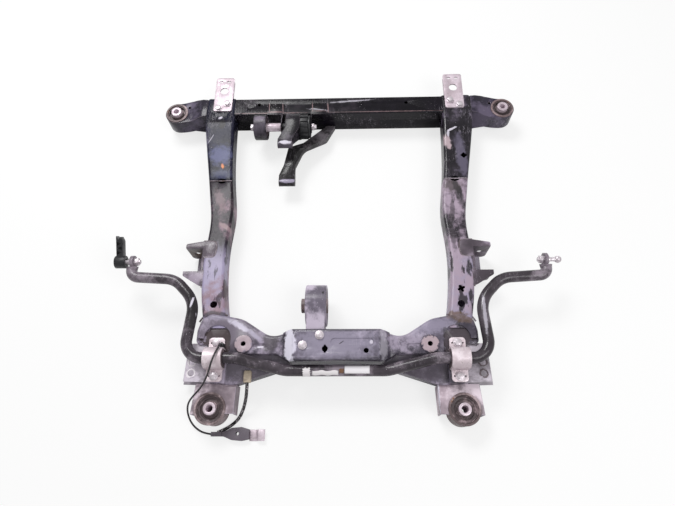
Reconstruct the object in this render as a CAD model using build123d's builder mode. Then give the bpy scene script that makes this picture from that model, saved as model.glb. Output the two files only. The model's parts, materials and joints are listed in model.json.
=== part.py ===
from build123d import *
import os
from math import cos, hypot, pi, radians, sin, tan

# Front subframe of a car, the engine cradle, in millimetres.
# X runs across the car, +Y to its front and +Z up. The origin lies on the floor, midway between
# the bores of the two rear body mounts. Left is -X, as seen from above with the front at the top.

os.makedirs("parts", exist_ok=True)

# Body mounts
REAR_MOUNT_SPACING = 592.0
FRONT_MOUNT_SPACING = 954.0
MOUNT_LENGTH = 841.0

# Pressed steel
PLATE = 3.0

# Front crossmember, a box of two channels, the upper one lapped over the lower
BEAM_REAR = 824.0
BEAM_DEPTH = 57.0
BEAM_HEIGHT = 80.0
BEAM_END = 386.0
BEAM_SKIRT = 32.0
BEAM_LAP = 16.0
BEAM_HOLES = ((-231.0, 859.0, 5.0), (-262.0, 846.0, 2.5), (199.0, 860.0, 5.0))

# Ears that carry the front body mounts
EAR_TOP = 70.0
EAR_FLOOR = 22.0
EAR_RIM = 4.0
EAR_SLOPE = (400.0, 432.0)
EAR_DRAIN = (-35.0, 20.0, 4.0)

# Side rails: points of the outer and inner edges seen from above, and heights along the rail
RAIL_OUTER = (
    (383.0, 900.0), (383.0, 768.0), (367.0, 664.0), (347.0, 540.0), (340.0, 478.0),
    (345.0, 400.0), (344.0, 305.0), (337.0, 250.0), (330.0, 212.0), (325.0, 170.0),
)
RAIL_INNER = (
    (300.0, 900.0), (300.0, 740.0), (290.0, 600.0), (281.0, 505.0),
    (287.0, 430.0), (288.0, 345.0), (278.0, 248.0), (262.0, 170.0),
)
RAIL_MID_TOP = 75.0
RAIL_BOTTOM = 21.0
RAIL_STEP = (795.0, 735.0)
RAIL_RISE = (420.0, 240.0)
RAIL_EASE = 200.0
RAIL_SEAM = 604.0
SEAM_SLOT = (25.0, 16.0)
SEAM_X = 320.0
RAIL_HOLE = (305.0, 246.0, 9.0)
CROSS_HOLE = (309.0, 286.0)
CROSS_SLOT = (20.0, 7.0)
CROSS_TILT = 25.0
DIAMOND_HOLE = (351.0, 679.0, 10.0)
SADDLE_BEAD = (4.0, 3.0)
SADDLE_BEAD_INSET = 12.0
SADDLE_PANEL = (341.5, 816.0, 40.0, 30.0, 1.5)
LAP_STRIP = (284.0, 6.0, 1.5)

# Rear crossmember
CROSS_FLOOR = 30.0
WING_TOP = 85.0
WING_OUTER = 339.0
WING_STEP = 33.0
PLATFORM_TOP = 120.0
PLATFORM_HALF = 98.0
PLATFORM_SLOPE = 30.0
TROUGH_FLOOR = 63.0
TROUGH_FRONT = 123.0
SEAT_FLOOR = 78.0
CROSS_FRONT = 175.0
CROSS_REAR = 103.0
SEAT_BACK = 58.0
SEAT_OUTER = WING_OUTER - WING_STEP
SOCKET_DEPTH = 186.0
CROSS_BEND = 9.0
PLATFORM_BEND = 8.0
RAIL_BEND = 8.0
STEERING_HOLE = (222.0, 146.0)
STEERING_BOSS = (23.0, 4.5)
STEERING_BORE = 6.0
BOSS_TAPER = 25.0
PLATFORM_GROOVE = (38.0, 143.0, 100.0, 18.0)
GROOVE_DEPTH = 2.0
WING_EMBOSS = (184.0, 141.0, 32.0, 12.0)
PLATFORM_HOLE = (70.0, 123.0, 6.0)
KEYHOLE = (-25.0, 127.0, 7.0)
PAN_HOLE = (170.0, 125.0, 16.0)
SEAT_ARCH = (160.0, 33.0)
CROSS_OUTLINE = (
    (0.0, CROSS_FRONT), (120.0, CROSS_FRONT), (157.0, 163.0), (228.0, 209.0),
    (WING_OUTER - 31, 224.0), (WING_OUTER - 8, 208.0),
    (WING_OUTER, 180.0), (WING_OUTER, 146.0),
    (SEAT_OUTER, 146.0), (SEAT_OUTER, SEAT_BACK), (243.0, 54.0), (150.0, 84.0),
    (112.0, CROSS_REAR), (0.0, CROSS_REAR),
)
CROSS_RADII = (60.0, 45.0, 70.0, 22.0, 22.0, 30.0, 12.0, 12.0, 12.0, 60.0, 60.0, 30.0)

# Arms and bushes of the body mounts
ARM_TOP = 56.0
ARM_DROP = 46.0
ARM_OUTLINE = ((237.0, 70.0), (334.0, 70.0), (342.0, -13.0), (240.0, -11.0))
REAR_BUSH_RADIUS = 35.0
FRONT_BUSH_RADIUS = 30.0
BUSH_LIP = 2.5
BUSH_LIP_HEIGHT = 3.0
BUSH_DISH = 6.0
BUSH_VOIDS = (20.0, 110.0, 200.0, 290.0)
BUSH_GROOVE = (21.0, 24.0, 3.0)
SLEEVE_RADIUS = 15.0
REAR_BORE_RADIUS = 8.0
FRONT_BORE_RADIUS = 7.5
REAR_SLEEVE_TOP = 62.0
FRONT_SLEEVE_TOP = 80.0
FRONT_SLEEVE_BOTTOM = 18.0

# Pockets for the rear bushes of the control arms
POCKET_TOP = 73.0
POCKET_FLOOR = 22.0
POCKET_REACH = 57.0
POCKET_FOOT = 12.0
POCKET_ENDS = (60.0, 150.0)
POCKET_HOLES = ((SEAT_OUTER + 38.5, 105.0), (SEAT_OUTER + 38.5, 79.0))
POCKET_HOLE_RADIUS = 7.5
POCKET_RIM = (3.5, 1.5)

# Brackets for the front bushes of the control arms
LUG_FRONT = 400.0
LUG_GAP = 64.0
LUG_PLATE = 3.5
LUG_FLOOR = 5.0
LUG_ROOT = RAIL_OUTER[5][0] + PLATE
LUG_REACH = 46.0
LUG_TAB = 12.0
LUG_BORE = (24.0, 42.0, 7.0)
LUG_FOOT_INNER = 316.0
LUG_FEET = ((-24.0, 20.0), (-2.0, 40.0))
LUG_FOLD = 14.0

# Front support brackets
SUPPORT_X = 338.0
SUPPORT_WIDTH = 54.0
SUPPORT_ENDS = (834.0, 956.0)
SUPPORT_THICK = 4.0
SUPPORT_LIP = 12.0
SUPPORT_HOLE = (907.0, 12.0)
SUPPORT_BOLTS = ((-12.5, 859.0), (12.5, 843.0))

# Anti-roll bar; its points are given for the right half
BAR_RADIUS = 13.5
BAR_AXIS_Y = 110.0
BUSH_WALL = 7.5
BAR_MIDDLE = (84.0, 82.0)
BAR_FIT = 0.05
BAR_KINK = 120.0
BAR_LEVEL = 236.0
BAR_KNEE = (360.0, 110.0)
BAR_FLARE = (349.0, 250.0, 95.0)
BAR_SHOULDER = (404.0, 307.0, 97.0)
EYE_X = 514.0
EYE_Y = 351.0
EYE_Z = 106.0
EYE_RADIUS = 16.0
EYE_THICK = 9.0
EYE_NECK = 22.0
EYE_FLARE = 9.0
BAR_TAIL = 18.0
BAR_RADII = (70.0, 60.0, 41.0, 76.0, 58.0, 18.0)

# Clamps of the anti-roll bar
CLAMP_X = WING_OUTER - 52.0
CLAMP_WALL = 4.0
CLAMP_WIDTH = 44.0
CLAMP_FOOT = (38.0, 27.0, 5.0)
CLAMP_BOLT_REACH = 39.0
CLAMP_BOLT_DEPTH = 8.0
CLAMP_PIN_REACH = 12.5
CLAMP_PIN_RADIUS = 2.0
BUSH_WIDTH = 46.0

# Ball studs and the broken drop link
STUD_RADIUS = 5.5
STUD_COLLAR = 10.0
BALL_X = 545.0
BALL_RADIUS = 9.0
NUT_SIZE = (18.0, 10.0)
LINK_SOCKET = (16.0, 25.0)
LINK_GAP = 0.3
LINK_LENGTH = 66.0
LINK_SECTION = (16.0, 18.0)
LINK_TILT = 25.0
LINK_BAYS = 3
LINK_POCKET = 6.0

# Front roll mount, on one cross bolt behind the front crossmember
ROLL_AXIS = (784.0, 72.0)
ROLL_CHEEKS = (-162.5, -77.5)
ROLL_BOLT_RADIUS = 6.0
ROLL_HUB_RADIUS = 37.0
ROLL_HUB = (-147.0, -107.0)
ROLL_EYE = (708.0, 96.0)
ROLL_EYE_X = (-167.0, -127.0)
ROLL_EYE_RADIUS = 11.0
ROLL_RING = (-240.0, -204.0)
ROLL_RING_RADIUS = 36.0
ROLL_RING_WALL = 6.0
SPACER_RADIUS = 12.0
CHEEK_RADIUS = 18.0
TAB_WIDTH = 42.0
TAB_DEPTH = 36.0
BUSH_RIBS = 14
STAY_BOSS = (612.0, 50.0)
STAY_BOSS_X = (-165.0, -120.0)

# Rear roll mount, in front of the rear crossmember
REAR_RING = (248.0, 60.0)
REAR_RING_RADIUS = 52.0
REAR_RING_WALL = 7.0
REAR_RING_X = (-76.0, -24.0)
REAR_SLEEVE_X = (-88.0, -22.0)
REAR_SLEEVE_RADIUS = 18.0
REAR_STEM = 44.0
REAR_BOLTS = ((-38.0, 159.0), (-77.0, 135.0))

# Flange bolts
BOLT_FLANGE = 10.5
BOLT_HEX = 15.0
BOLT_HEIGHT = 8.0
BOLT_FLANGE_HEIGHT = 2.5
BOLT_SHANK = 4.0

# Wheel-speed lead: a conduit and a thin cable down to a sensor on the floor
CONDUIT_RADIUS = 4.0
CABLE_RADIUS = 2.2
CONDUIT_ROUTE = (
    (-210.0, 60.0, 68.0), (-211.0, 46.0, 61.0), (-214.0, 31.0, 47.0), (-219.0, 16.0, 30.5),
    (-226.0, 1.0, 15.0), (-235.0, -16.0, 6.0), (-250.0, -31.0, 4.6), (-268.0, -42.0, 4.6),
    (-285.0, -49.0, 5.0),
)
CABLE_ROUTE = (
    (-270.5, 143.0, 96.0), (-271.0, 140.0, 111.0), (-273.0, 127.0, 125.0), (-278.0, 110.0, 131.5),
    (-284.0, 93.0, 127.5), (-291.0, 79.0, 114.0), (-299.0, 67.0, 99.0), (-309.0, 54.0, 84.0),
    (-321.0, 41.0, 72.0), (-335.0, 28.0, 67.0), (-347.0, 14.0, 59.0), (-353.0, 0.0, 43.0),
    (-353.0, -16.0, 25.0), (-346.0, -32.0, 10.5), (-332.0, -44.0, 5.0), (-316.0, -51.0, 4.2),
    (-299.0, -53.0, 5.0),
)
CONNECTOR = (18.0, 28.0, 9.0)
CONNECTOR_END = 58.0
CLIP_CENTRE = (-270.5, 141.0)
CLIP_SIZE = (10.0, 9.0, 20.0)
SENSOR_HEIGHT = 14.0
SENSOR_TAIL_HEIGHT = 10.0
SENSOR_HOLE = (-236.0, -52.0, 4.0)
SENSOR_OUTLINE = (
    (-272.0, -48.5), (-262.0, -45.0), (-250.0, -39.0), (-226.0, -37.0), (-208.0, -42.0),
    (-208.0, -64.0), (-226.0, -68.0), (-250.0, -66.0), (-262.0, -61.0), (-272.0, -57.5),
)
SENSOR_TAIL = (-300.0, -264.0, -58.0, -48.0)
SENSOR_PLATE = (
    (-208.0, 0.0), (-208.0, 3.0), (-192.0, 3.0), (-186.0, 12.0), (-170.0, 12.0), (-170.0, 9.0),
    (-184.0, 9.0), (-190.0, 0.0),
)
SENSOR_PLATE_DEPTH = (-68.0, -42.0)

BAR_Z = SEAT_FLOOR + BAR_RADIUS + BUSH_WALL
BEAM_FRONT = BEAM_REAR + BEAM_DEPTH
REAR_X = REAR_MOUNT_SPACING / 2
FRONT_X = FRONT_MOUNT_SPACING / 2
SOCKET_TOP = WING_TOP - PLATE
FAR = 2000.0


def save(piece, name):
    """Label one finished piece and write it."""
    piece.label = name
    export_step(piece, f"parts/{name}.step")


def save_pair(right, name):
    """Write a right-hand piece and its mirror image."""
    save(mirror(right, about=Plane.YZ), f"{name}_left")
    save(right, f"{name}_right")


def x_cylinder(radius, span, y, z):
    """A round bar along X."""
    with BuildPart() as bar:
        with BuildSketch(Plane.YZ.offset(span[0])):
            with Locations((y, z)):
                Circle(radius)
        extrude(amount=span[1] - span[0])
    return bar.part


def flange_bolt(x, y, seat, length):
    """A hexagon bolt with its flange, standing on the height seat."""
    with BuildPart() as bolt:
        with BuildSketch(Plane.XY.offset(seat)):
            with Locations((x, y)):
                Circle(BOLT_FLANGE)
        extrude(amount=BOLT_FLANGE_HEIGHT)
        with BuildSketch(Plane.XY.offset(seat)):
            with Locations((x, y)):
                RegularPolygon(BOLT_HEX / 2, 6, major_radius=False)
        extrude(amount=BOLT_HEIGHT)
        with BuildSketch(Plane.XY.offset(seat)):
            with Locations((x, y)):
                Circle(BOLT_SHANK)
        extrude(amount=-length)
    return bolt.part


def rail_form(skin, ends):
    """A side rail between two places along Y, drawn in by skin all round but for its ends."""
    rear, front = ends
    high = BEAM_HEIGHT + PLATE - skin
    low = RAIL_BOTTOM + skin
    middle = RAIL_MID_TOP - skin
    inside = SOCKET_TOP - skin
    with BuildPart() as form:
        with BuildSketch(Plane.XY):
            with BuildLine():
                outer = Spline(*[(x - skin, y) for x, y in RAIL_OUTER])
                inner = Spline(*[(x + skin, y) for x, y in RAIL_INNER])
                Line(outer @ 0, inner @ 0)
                Line(outer @ 1, inner @ 1)
            make_face()
        extrude(amount=PLATFORM_TOP)
        with BuildSketch(Plane.YZ):
            with BuildLine():
                FilletPolyline(
                    (FAR, high), (RAIL_STEP[0], high), (RAIL_STEP[1], middle), (RAIL_RISE[0], middle),
                    (RAIL_RISE[1], inside), (0, inside), radius=RAIL_EASE,
                )
                Polyline((0, inside), (0, low), (FAR, low), (FAR, high))
            make_face()
            with Locations(((rear + front) / 2, 0)):
                Rectangle(front - rear, FAR, mode=Mode.INTERSECT)
        extrude(amount=FAR, both=True, mode=Mode.INTERSECT)
        long_edges = form.edges().filter_by(lambda edge: abs((edge @ 1 - edge @ 0).Y) > RAIL_BEND)
        fillet(long_edges, RAIL_BEND - skin)
    return form.part


def crossmember_outline(skin):
    """The rear crossmember seen from above, drawn in by skin."""
    with BuildSketch() as outline:
        with BuildLine():
            FilletPolyline(*CROSS_OUTLINE, radius=CROSS_RADII)
            Line(CROSS_OUTLINE[-1], CROSS_OUTLINE[0])
        make_face()
        mirror(about=Plane.YZ)
        if skin:
            offset(amount=-skin, kind=Kind.INTERSECTION)
    return outline.sketch


def platform_form(skin):
    """The raised platform with its sloping ends, drawn in by skin but for its open floor."""
    floor = CROSS_FLOOR - skin
    wing = WING_TOP - skin
    top = PLATFORM_TOP - skin
    slope = PLATFORM_SLOPE / (PLATFORM_TOP - WING_TOP)
    foot = PLATFORM_HALF + PLATFORM_SLOPE + slope * skin - skin * hypot(1, slope)
    head = foot - slope * (top - wing)
    with BuildPart() as platform:
        with BuildSketch(Plane.XY.offset(floor)):
            add(crossmember_outline(skin))
        extrude(amount=top - floor)
        with BuildSketch(Plane.XZ):
            Polygon((0, floor), (foot, floor), (foot, wing), (head, top), (0, top), align=None)
            mirror(about=Plane.YZ)
        extrude(amount=FAR, both=True, mode=Mode.INTERSECT)
        fillet(platform.edges().group_by(Axis.Z)[-1], PLATFORM_BEND - skin)
    return platform.part


def crossmember_form(skin):
    """The rear crossmember's pressed shape, drawn in by skin but for its open floor."""
    floor = CROSS_FLOOR - skin
    trough_front = TROUGH_FRONT + skin
    trough_side = CLAMP_X - CLAMP_WIDTH / 2 - PLATE + skin
    seat_inner = CLAMP_X - SEAT_ARCH[1] - skin
    with BuildPart() as form:
        with BuildSketch(Plane.XY.offset(floor)):
            add(crossmember_outline(skin))
        extrude(amount=WING_TOP - skin - floor)
        fillet(form.edges().group_by(Axis.Z)[-1], CROSS_BEND - skin)
        add(platform_form(skin))
        with BuildSketch(Plane.XY.offset(TROUGH_FLOOR - skin)):
            with BuildLine():
                Polyline(
                    (PLATFORM_HALF, 0), (PLATFORM_HALF, CROSS_REAR + skin),
                    (PLATFORM_HALF + 12, CROSS_REAR + skin), (PLATFORM_HALF + 44, trough_front),
                    (trough_side, trough_front), (trough_side, 0), close=True,
                )
            make_face()
            mirror(about=Plane.YZ)
        extrude(amount=FAR, mode=Mode.SUBTRACT)
        with BuildSketch(Plane.XY.offset(SEAT_FLOOR - skin)):
            with BuildLine():
                Polyline(
                    (seat_inner, 0), (seat_inner, SEAT_ARCH[0]), (WING_OUTER, SEAT_ARCH[0]),
                    (WING_OUTER, 0), close=True,
                )
            make_face()
            with Locations((CLAMP_X, SEAT_ARCH[0])):
                Circle(SEAT_ARCH[1] + skin)
            mirror(about=Plane.YZ)
        extrude(amount=FAR, mode=Mode.SUBTRACT)
    return form.part


def make_crossmember_shell():
    """Upper pressing of the rear crossmember: platform, steering gear bosses and bolt holes."""
    bosses = [(side * STEERING_HOLE[0], STEERING_HOLE[1]) for side in (-1, 1)]
    clamp_bolts = [
        (side * CLAMP_X, BAR_AXIS_Y + reach)
        for side in (-1, 1)
        for reach in (-CLAMP_BOLT_REACH, CLAMP_BOLT_REACH)
    ]
    with BuildPart() as shell:
        add(CROSSMEMBER)
        add(crossmember_form(PLATE), mode=Mode.SUBTRACT)
        add(RAIL_SOCKET, mode=Mode.SUBTRACT)
        add(mirror(RAIL_SOCKET, about=Plane.YZ), mode=Mode.SUBTRACT)
        with BuildSketch(Plane.XY.offset(WING_TOP)):
            with Locations(*bosses):
                Circle(STEERING_BOSS[0])
        extrude(amount=STEERING_BOSS[1], taper=BOSS_TAPER)
        with BuildSketch(Plane.XY.offset(CROSS_FLOOR)):
            with Locations(*bosses):
                Circle(STEERING_BORE)
            with Locations(PLATFORM_HOLE[:2]):
                Circle(PLATFORM_HOLE[2])
            with Locations(KEYHOLE[:2]):
                Circle(KEYHOLE[2])
                SlotOverall(2.8 * KEYHOLE[2], 0.8 * KEYHOLE[2], rotation=90)
            with Locations(*REAR_BOLTS, *clamp_bolts):
                Circle(BOLT_SHANK)
        extrude(amount=FAR, mode=Mode.SUBTRACT)
        with BuildSketch(Plane.XY.offset(PLATFORM_TOP)):
            with Locations(PLATFORM_GROOVE[:2]):
                SlotOverall(*PLATFORM_GROOVE[2:])
        extrude(amount=-GROOVE_DEPTH, taper=BOSS_TAPER, mode=Mode.SUBTRACT)
        with BuildSketch(Plane.XY.offset(WING_TOP)):
            for side in (-1, 1):
                with Locations((side * WING_EMBOSS[0], WING_EMBOSS[1])):
                    SlotOverall(*WING_EMBOSS[2:])
        extrude(amount=-GROOVE_DEPTH, taper=BOSS_TAPER, mode=Mode.SUBTRACT)
    save(shell.part, "rear_crossmember_upper")


def make_crossmember_pan():
    """The pan that closes the rear crossmember from below."""
    with BuildPart() as pan:
        with BuildSketch(Plane.XY.offset(CROSS_FLOOR)):
            add(crossmember_outline(0))
            with Locations((PAN_HOLE[0], PAN_HOLE[1]), (-PAN_HOLE[0], PAN_HOLE[1])):
                Circle(PAN_HOLE[2], mode=Mode.SUBTRACT)
        extrude(amount=-PLATE)
        add(RAIL_SOCKET, mode=Mode.SUBTRACT)
        add(mirror(RAIL_SOCKET, about=Plane.YZ), mode=Mode.SUBTRACT)
    save(pan.part, "rear_crossmember_pan")


def make_side_rails():
    """Front and rear lengths of the hollow rails; the right one has two holes more."""
    seam = (SEAM_X, RAIL_SEAM)
    saddle_middle = (RAIL_STEP[0] + SUPPORT_ENDS[0]) / 2
    bead_length = SUPPORT_ENDS[0] - RAIL_STEP[0] - 2 * SADDLE_BEAD[0]
    for side, name in ((-1, "left"), (1, "right")):
        with BuildPart() as front:
            add(rail_form(0, (RAIL_SEAM, BEAM_FRONT)))
            add(rail_form(PLATE, (RAIL_SEAM - 1, BEAM_FRONT + 1)), mode=Mode.SUBTRACT)
            with BuildSketch(Plane.XY):
                with Locations((FRONT_X, BEAM_FRONT)):
                    Rectangle(FAR, 2 * BEAM_DEPTH)
            extrude(amount=BEAM_HEIGHT, mode=Mode.SUBTRACT)
            with BuildSketch(Plane.XY.offset(BEAM_HEIGHT + PLATE)):
                for x in (RAIL_INNER[0][0], RAIL_OUTER[0][0]):
                    inset = SADDLE_BEAD_INSET if x == RAIL_INNER[0][0] else -SADDLE_BEAD_INSET
                    with Locations((x + inset, saddle_middle)):
                        SlotOverall(bead_length, SADDLE_BEAD[0], rotation=90)
            extrude(amount=SADDLE_BEAD[1])
            with BuildSketch(Plane.XY.offset(RAIL_MID_TOP - 2 * PLATE)):
                with Locations(seam):
                    Ellipse(SEAM_SLOT[0] / 2, SEAM_SLOT[1] / 2)
                if side > 0:
                    with Locations(DIAMOND_HOLE[:2]):
                        RegularPolygon(DIAMOND_HOLE[2], 4)
            extrude(amount=FAR, mode=Mode.SUBTRACT)
            with BuildSketch(Plane.XY.offset(BEAM_HEIGHT + PLATE)):
                with Locations(SADDLE_PANEL[:2]):
                    RectangleRounded(*SADDLE_PANEL[2:4], 2 * PLATE)
            extrude(amount=-SADDLE_PANEL[4], mode=Mode.SUBTRACT)
        with BuildPart() as rear:
            add(RAIL_SOCKET)
            add(rail_form(PLATE, (SOCKET_DEPTH - 1, RAIL_SEAM + 1)), mode=Mode.SUBTRACT)
            with BuildSketch(Plane.XY.offset(RAIL_MID_TOP - 2 * PLATE)):
                with Locations(seam):
                    Ellipse(SEAM_SLOT[0] / 2, SEAM_SLOT[1] / 2)
                with Locations(RAIL_HOLE[:2]):
                    Circle(RAIL_HOLE[2])
                if side > 0:
                    with Locations(CROSS_HOLE):
                        SlotOverall(*CROSS_SLOT, rotation=CROSS_TILT)
                        SlotOverall(*CROSS_SLOT, rotation=CROSS_TILT + 90)
            extrude(amount=FAR, mode=Mode.SUBTRACT)
        for piece, place in ((front, "front"), (rear, "rear")):
            body = piece.part if side > 0 else mirror(piece.part, about=Plane.YZ)
            save(body, f"side_rail_{place}_{name}")


def make_front_crossmember():
    """Upper and lower channels of the front beam; the upper laps over the lower."""
    beam_middle = BEAM_REAR + BEAM_DEPTH / 2
    seam = BEAM_HEIGHT - BEAM_SKIRT
    inner_depth = BEAM_DEPTH - 2 * PLATE
    with BuildPart() as upper:
        with BuildSketch(Plane.YZ.offset(-BEAM_END)):
            with Locations((beam_middle, BEAM_HEIGHT - BEAM_SKIRT / 2)):
                Rectangle(BEAM_DEPTH, BEAM_SKIRT)
            with Locations((beam_middle, seam)):
                Rectangle(inner_depth, 2 * (BEAM_SKIRT - PLATE), mode=Mode.SUBTRACT)
        extrude(amount=2 * BEAM_END)
        top_edges = upper.edges().filter_by(Axis.X).group_by(Axis.Z)[-1]
        fillet(top_edges, PLATE - 0.5)
        with BuildSketch(Plane.XY.offset(BEAM_HEIGHT)):
            with Locations((-LAP_STRIP[0], beam_middle), (LAP_STRIP[0], beam_middle)):
                Rectangle(LAP_STRIP[1], inner_depth)
        extrude(amount=LAP_STRIP[2])
        with BuildSketch(Plane.XY.offset(BEAM_HEIGHT - 2 * PLATE)):
            for x, y, radius in BEAM_HOLES:
                with Locations((x, y)):
                    Circle(radius)
        extrude(amount=FAR, mode=Mode.SUBTRACT)
    save(upper.part, "front_crossmember_upper")

    lap_top = seam + BEAM_LAP
    with BuildPart() as lower:
        with BuildSketch(Plane.YZ.offset(-BEAM_END)):
            with Locations((beam_middle, lap_top / 2)):
                Rectangle(inner_depth, lap_top)
            with Locations((beam_middle, PLATE + lap_top / 2)):
                Rectangle(inner_depth - 2 * PLATE, lap_top, mode=Mode.SUBTRACT)
        extrude(amount=2 * BEAM_END)
    save(lower.part, "front_crossmember_lower")


def ear_form(skin):
    """An ear, from the beam's end to round its mount, drawn in by skin but for its open end."""
    start = BEAM_END - (1 if skin else 0)
    radius = FRONT_BUSH_RADIUS + EAR_RIM - skin
    with BuildPart() as form:
        with BuildSketch(Plane.XY):
            with BuildLine():
                back = Spline(
                    (BEAM_END - 5, BEAM_REAR + skin), (EAR_SLOPE[0] + 25, BEAM_REAR - 9 + skin),
                    (FRONT_X, MOUNT_LENGTH - radius), tangents=((1, 0), (1, 0)),
                )
                front = Spline(
                    (BEAM_END - 5, BEAM_FRONT - skin), (EAR_SLOPE[0] + 30, BEAM_FRONT + 3 - skin),
                    (FRONT_X, MOUNT_LENGTH + radius), tangents=((1, 0), (1, 0)),
                )
                Line(back @ 0, front @ 0)
                Line(back @ 1, front @ 1)
            make_face()
            with Locations((FRONT_X, MOUNT_LENGTH)):
                Circle(radius)
        extrude(amount=BEAM_HEIGHT)
        with BuildSketch(Plane.XZ):
            with BuildLine():
                Polyline(
                    (start, skin), (start, BEAM_HEIGHT - skin), (EAR_SLOPE[0], BEAM_HEIGHT - skin),
                    (EAR_SLOPE[1], EAR_TOP - skin), (FRONT_X + FAR, EAR_TOP - skin),
                    (FRONT_X + FAR, EAR_FLOOR + skin), (EAR_SLOPE[1], EAR_FLOOR + skin),
                    (EAR_SLOPE[0], skin), close=True,
                )
            make_face()
        extrude(amount=FAR, both=True, mode=Mode.INTERSECT)
    return form.part


def make_front_ears():
    """The pressed ears with the bore of the mount and the drain hole."""
    with BuildPart() as ear:
        add(ear_form(0))
        add(ear_form(PLATE), mode=Mode.SUBTRACT)
        with BuildSketch(Plane.XY):
            with Locations((FRONT_X, MOUNT_LENGTH)):
                Circle(FRONT_BUSH_RADIUS)
        extrude(amount=BEAM_HEIGHT, mode=Mode.SUBTRACT)
        with BuildSketch(Plane.XY.offset(BEAM_HEIGHT / 2)):
            with Locations((FRONT_X + EAR_DRAIN[0], MOUNT_LENGTH + EAR_DRAIN[1])):
                Circle(EAR_DRAIN[2])
        extrude(amount=BEAM_HEIGHT, mode=Mode.SUBTRACT)
    save_pair(ear.part, "front_ear")


def make_mount_bush(name, centre, shell, heights, bore, sleeve_heights, notches):
    """Steel shell with a rolled lip, bonded rubber, and an inner sleeve."""
    floor, top = heights
    sleeve_floor, sleeve_top = sleeve_heights
    inner = shell - PLATE
    with BuildPart() as case:
        with BuildSketch(Plane.XY.offset(floor)):
            with Locations(centre):
                Circle(shell)
                Circle(inner, mode=Mode.SUBTRACT)
        extrude(amount=top - floor)
        with BuildSketch(Plane.XY.offset(top)):
            with Locations(centre):
                Circle(shell + BUSH_LIP)
                Circle(inner, mode=Mode.SUBTRACT)
        extrude(amount=BUSH_LIP_HEIGHT)
        fillet(case.edges().group_by(Axis.Z)[-1], BUSH_LIP_HEIGHT / 3)
    save_pair(case.part, f"{name}_shell")

    void_radius = (inner + SLEEVE_RADIUS) / 2
    void_width = (inner - SLEEVE_RADIUS) / 3
    with BuildPart() as rubber:
        with BuildSketch(Plane.XY.offset(floor + PLATE)):
            with Locations(centre):
                Circle(inner)
                Circle(SLEEVE_RADIUS, mode=Mode.SUBTRACT)
        extrude(amount=top - floor - PLATE)
        with BuildSketch(Plane.XY.offset(top - BUSH_DISH)):
            with Locations(centre):
                Circle(inner - PLATE)
                Circle(SLEEVE_RADIUS + PLATE, mode=Mode.SUBTRACT)
        extrude(amount=FAR, mode=Mode.SUBTRACT)
        with BuildSketch(Plane.XY.offset(top - BUSH_DISH - BUSH_GROOVE[2])):
            with Locations(centre):
                if notches:
                    for turn in BUSH_VOIDS:
                        with PolarLocations(void_radius, 1, start_angle=turn):
                            SlotOverall(2.2 * void_width, void_width, rotation=90)
                else:
                    Circle(BUSH_GROOVE[1])
                    Circle(BUSH_GROOVE[0], mode=Mode.SUBTRACT)
        extrude(amount=FAR, mode=Mode.SUBTRACT)
    save_pair(rubber.part, f"{name}_rubber")

    with BuildPart() as sleeve:
        with BuildSketch(Plane.XY.offset(sleeve_floor)):
            with Locations(centre):
                Circle(SLEEVE_RADIUS)
                Circle(bore, mode=Mode.SUBTRACT)
        extrude(amount=sleeve_top - sleeve_floor)
    save_pair(sleeve.part, f"{name}_sleeve")


def make_rear_arms():
    """Pressed arms behind the crossmember that grip the rear body mounts."""
    near, far = ARM_OUTLINE[:2], ARM_OUTLINE[2:]
    with BuildPart() as arm:
        with BuildSketch(Plane.XY.offset(ARM_TOP - ARM_DROP)):
            Polygon(*ARM_OUTLINE, align=None)
        extrude(amount=ARM_DROP)
        with BuildSketch(Plane.XY.offset(ARM_TOP - ARM_DROP)):
            Polygon(
                (near[0][0] + PLATE, near[0][1] + 1), (near[1][0] - PLATE, near[1][1] + 1),
                (far[0][0] - PLATE, far[0][1] - 1), (far[1][0] + PLATE, far[1][1] - 1),
                align=None,
            )
        extrude(amount=ARM_DROP - PLATE, mode=Mode.SUBTRACT)
        with BuildSketch(Plane.XY):
            with Locations((REAR_X, 0)):
                Circle(REAR_BUSH_RADIUS)
        extrude(amount=FAR, mode=Mode.SUBTRACT)
        with BuildSketch(Plane.XY):
            add(crossmember_outline(0))
        extrude(amount=FAR, mode=Mode.SUBTRACT)
        with BuildSketch(Plane.XY):
            with Locations((REAR_X, SEAT_BACK + FAR / 2)):
                Rectangle(FAR, FAR)
        extrude(amount=FAR, mode=Mode.SUBTRACT)
    save_pair(arm.part, "rear_arm")


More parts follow.
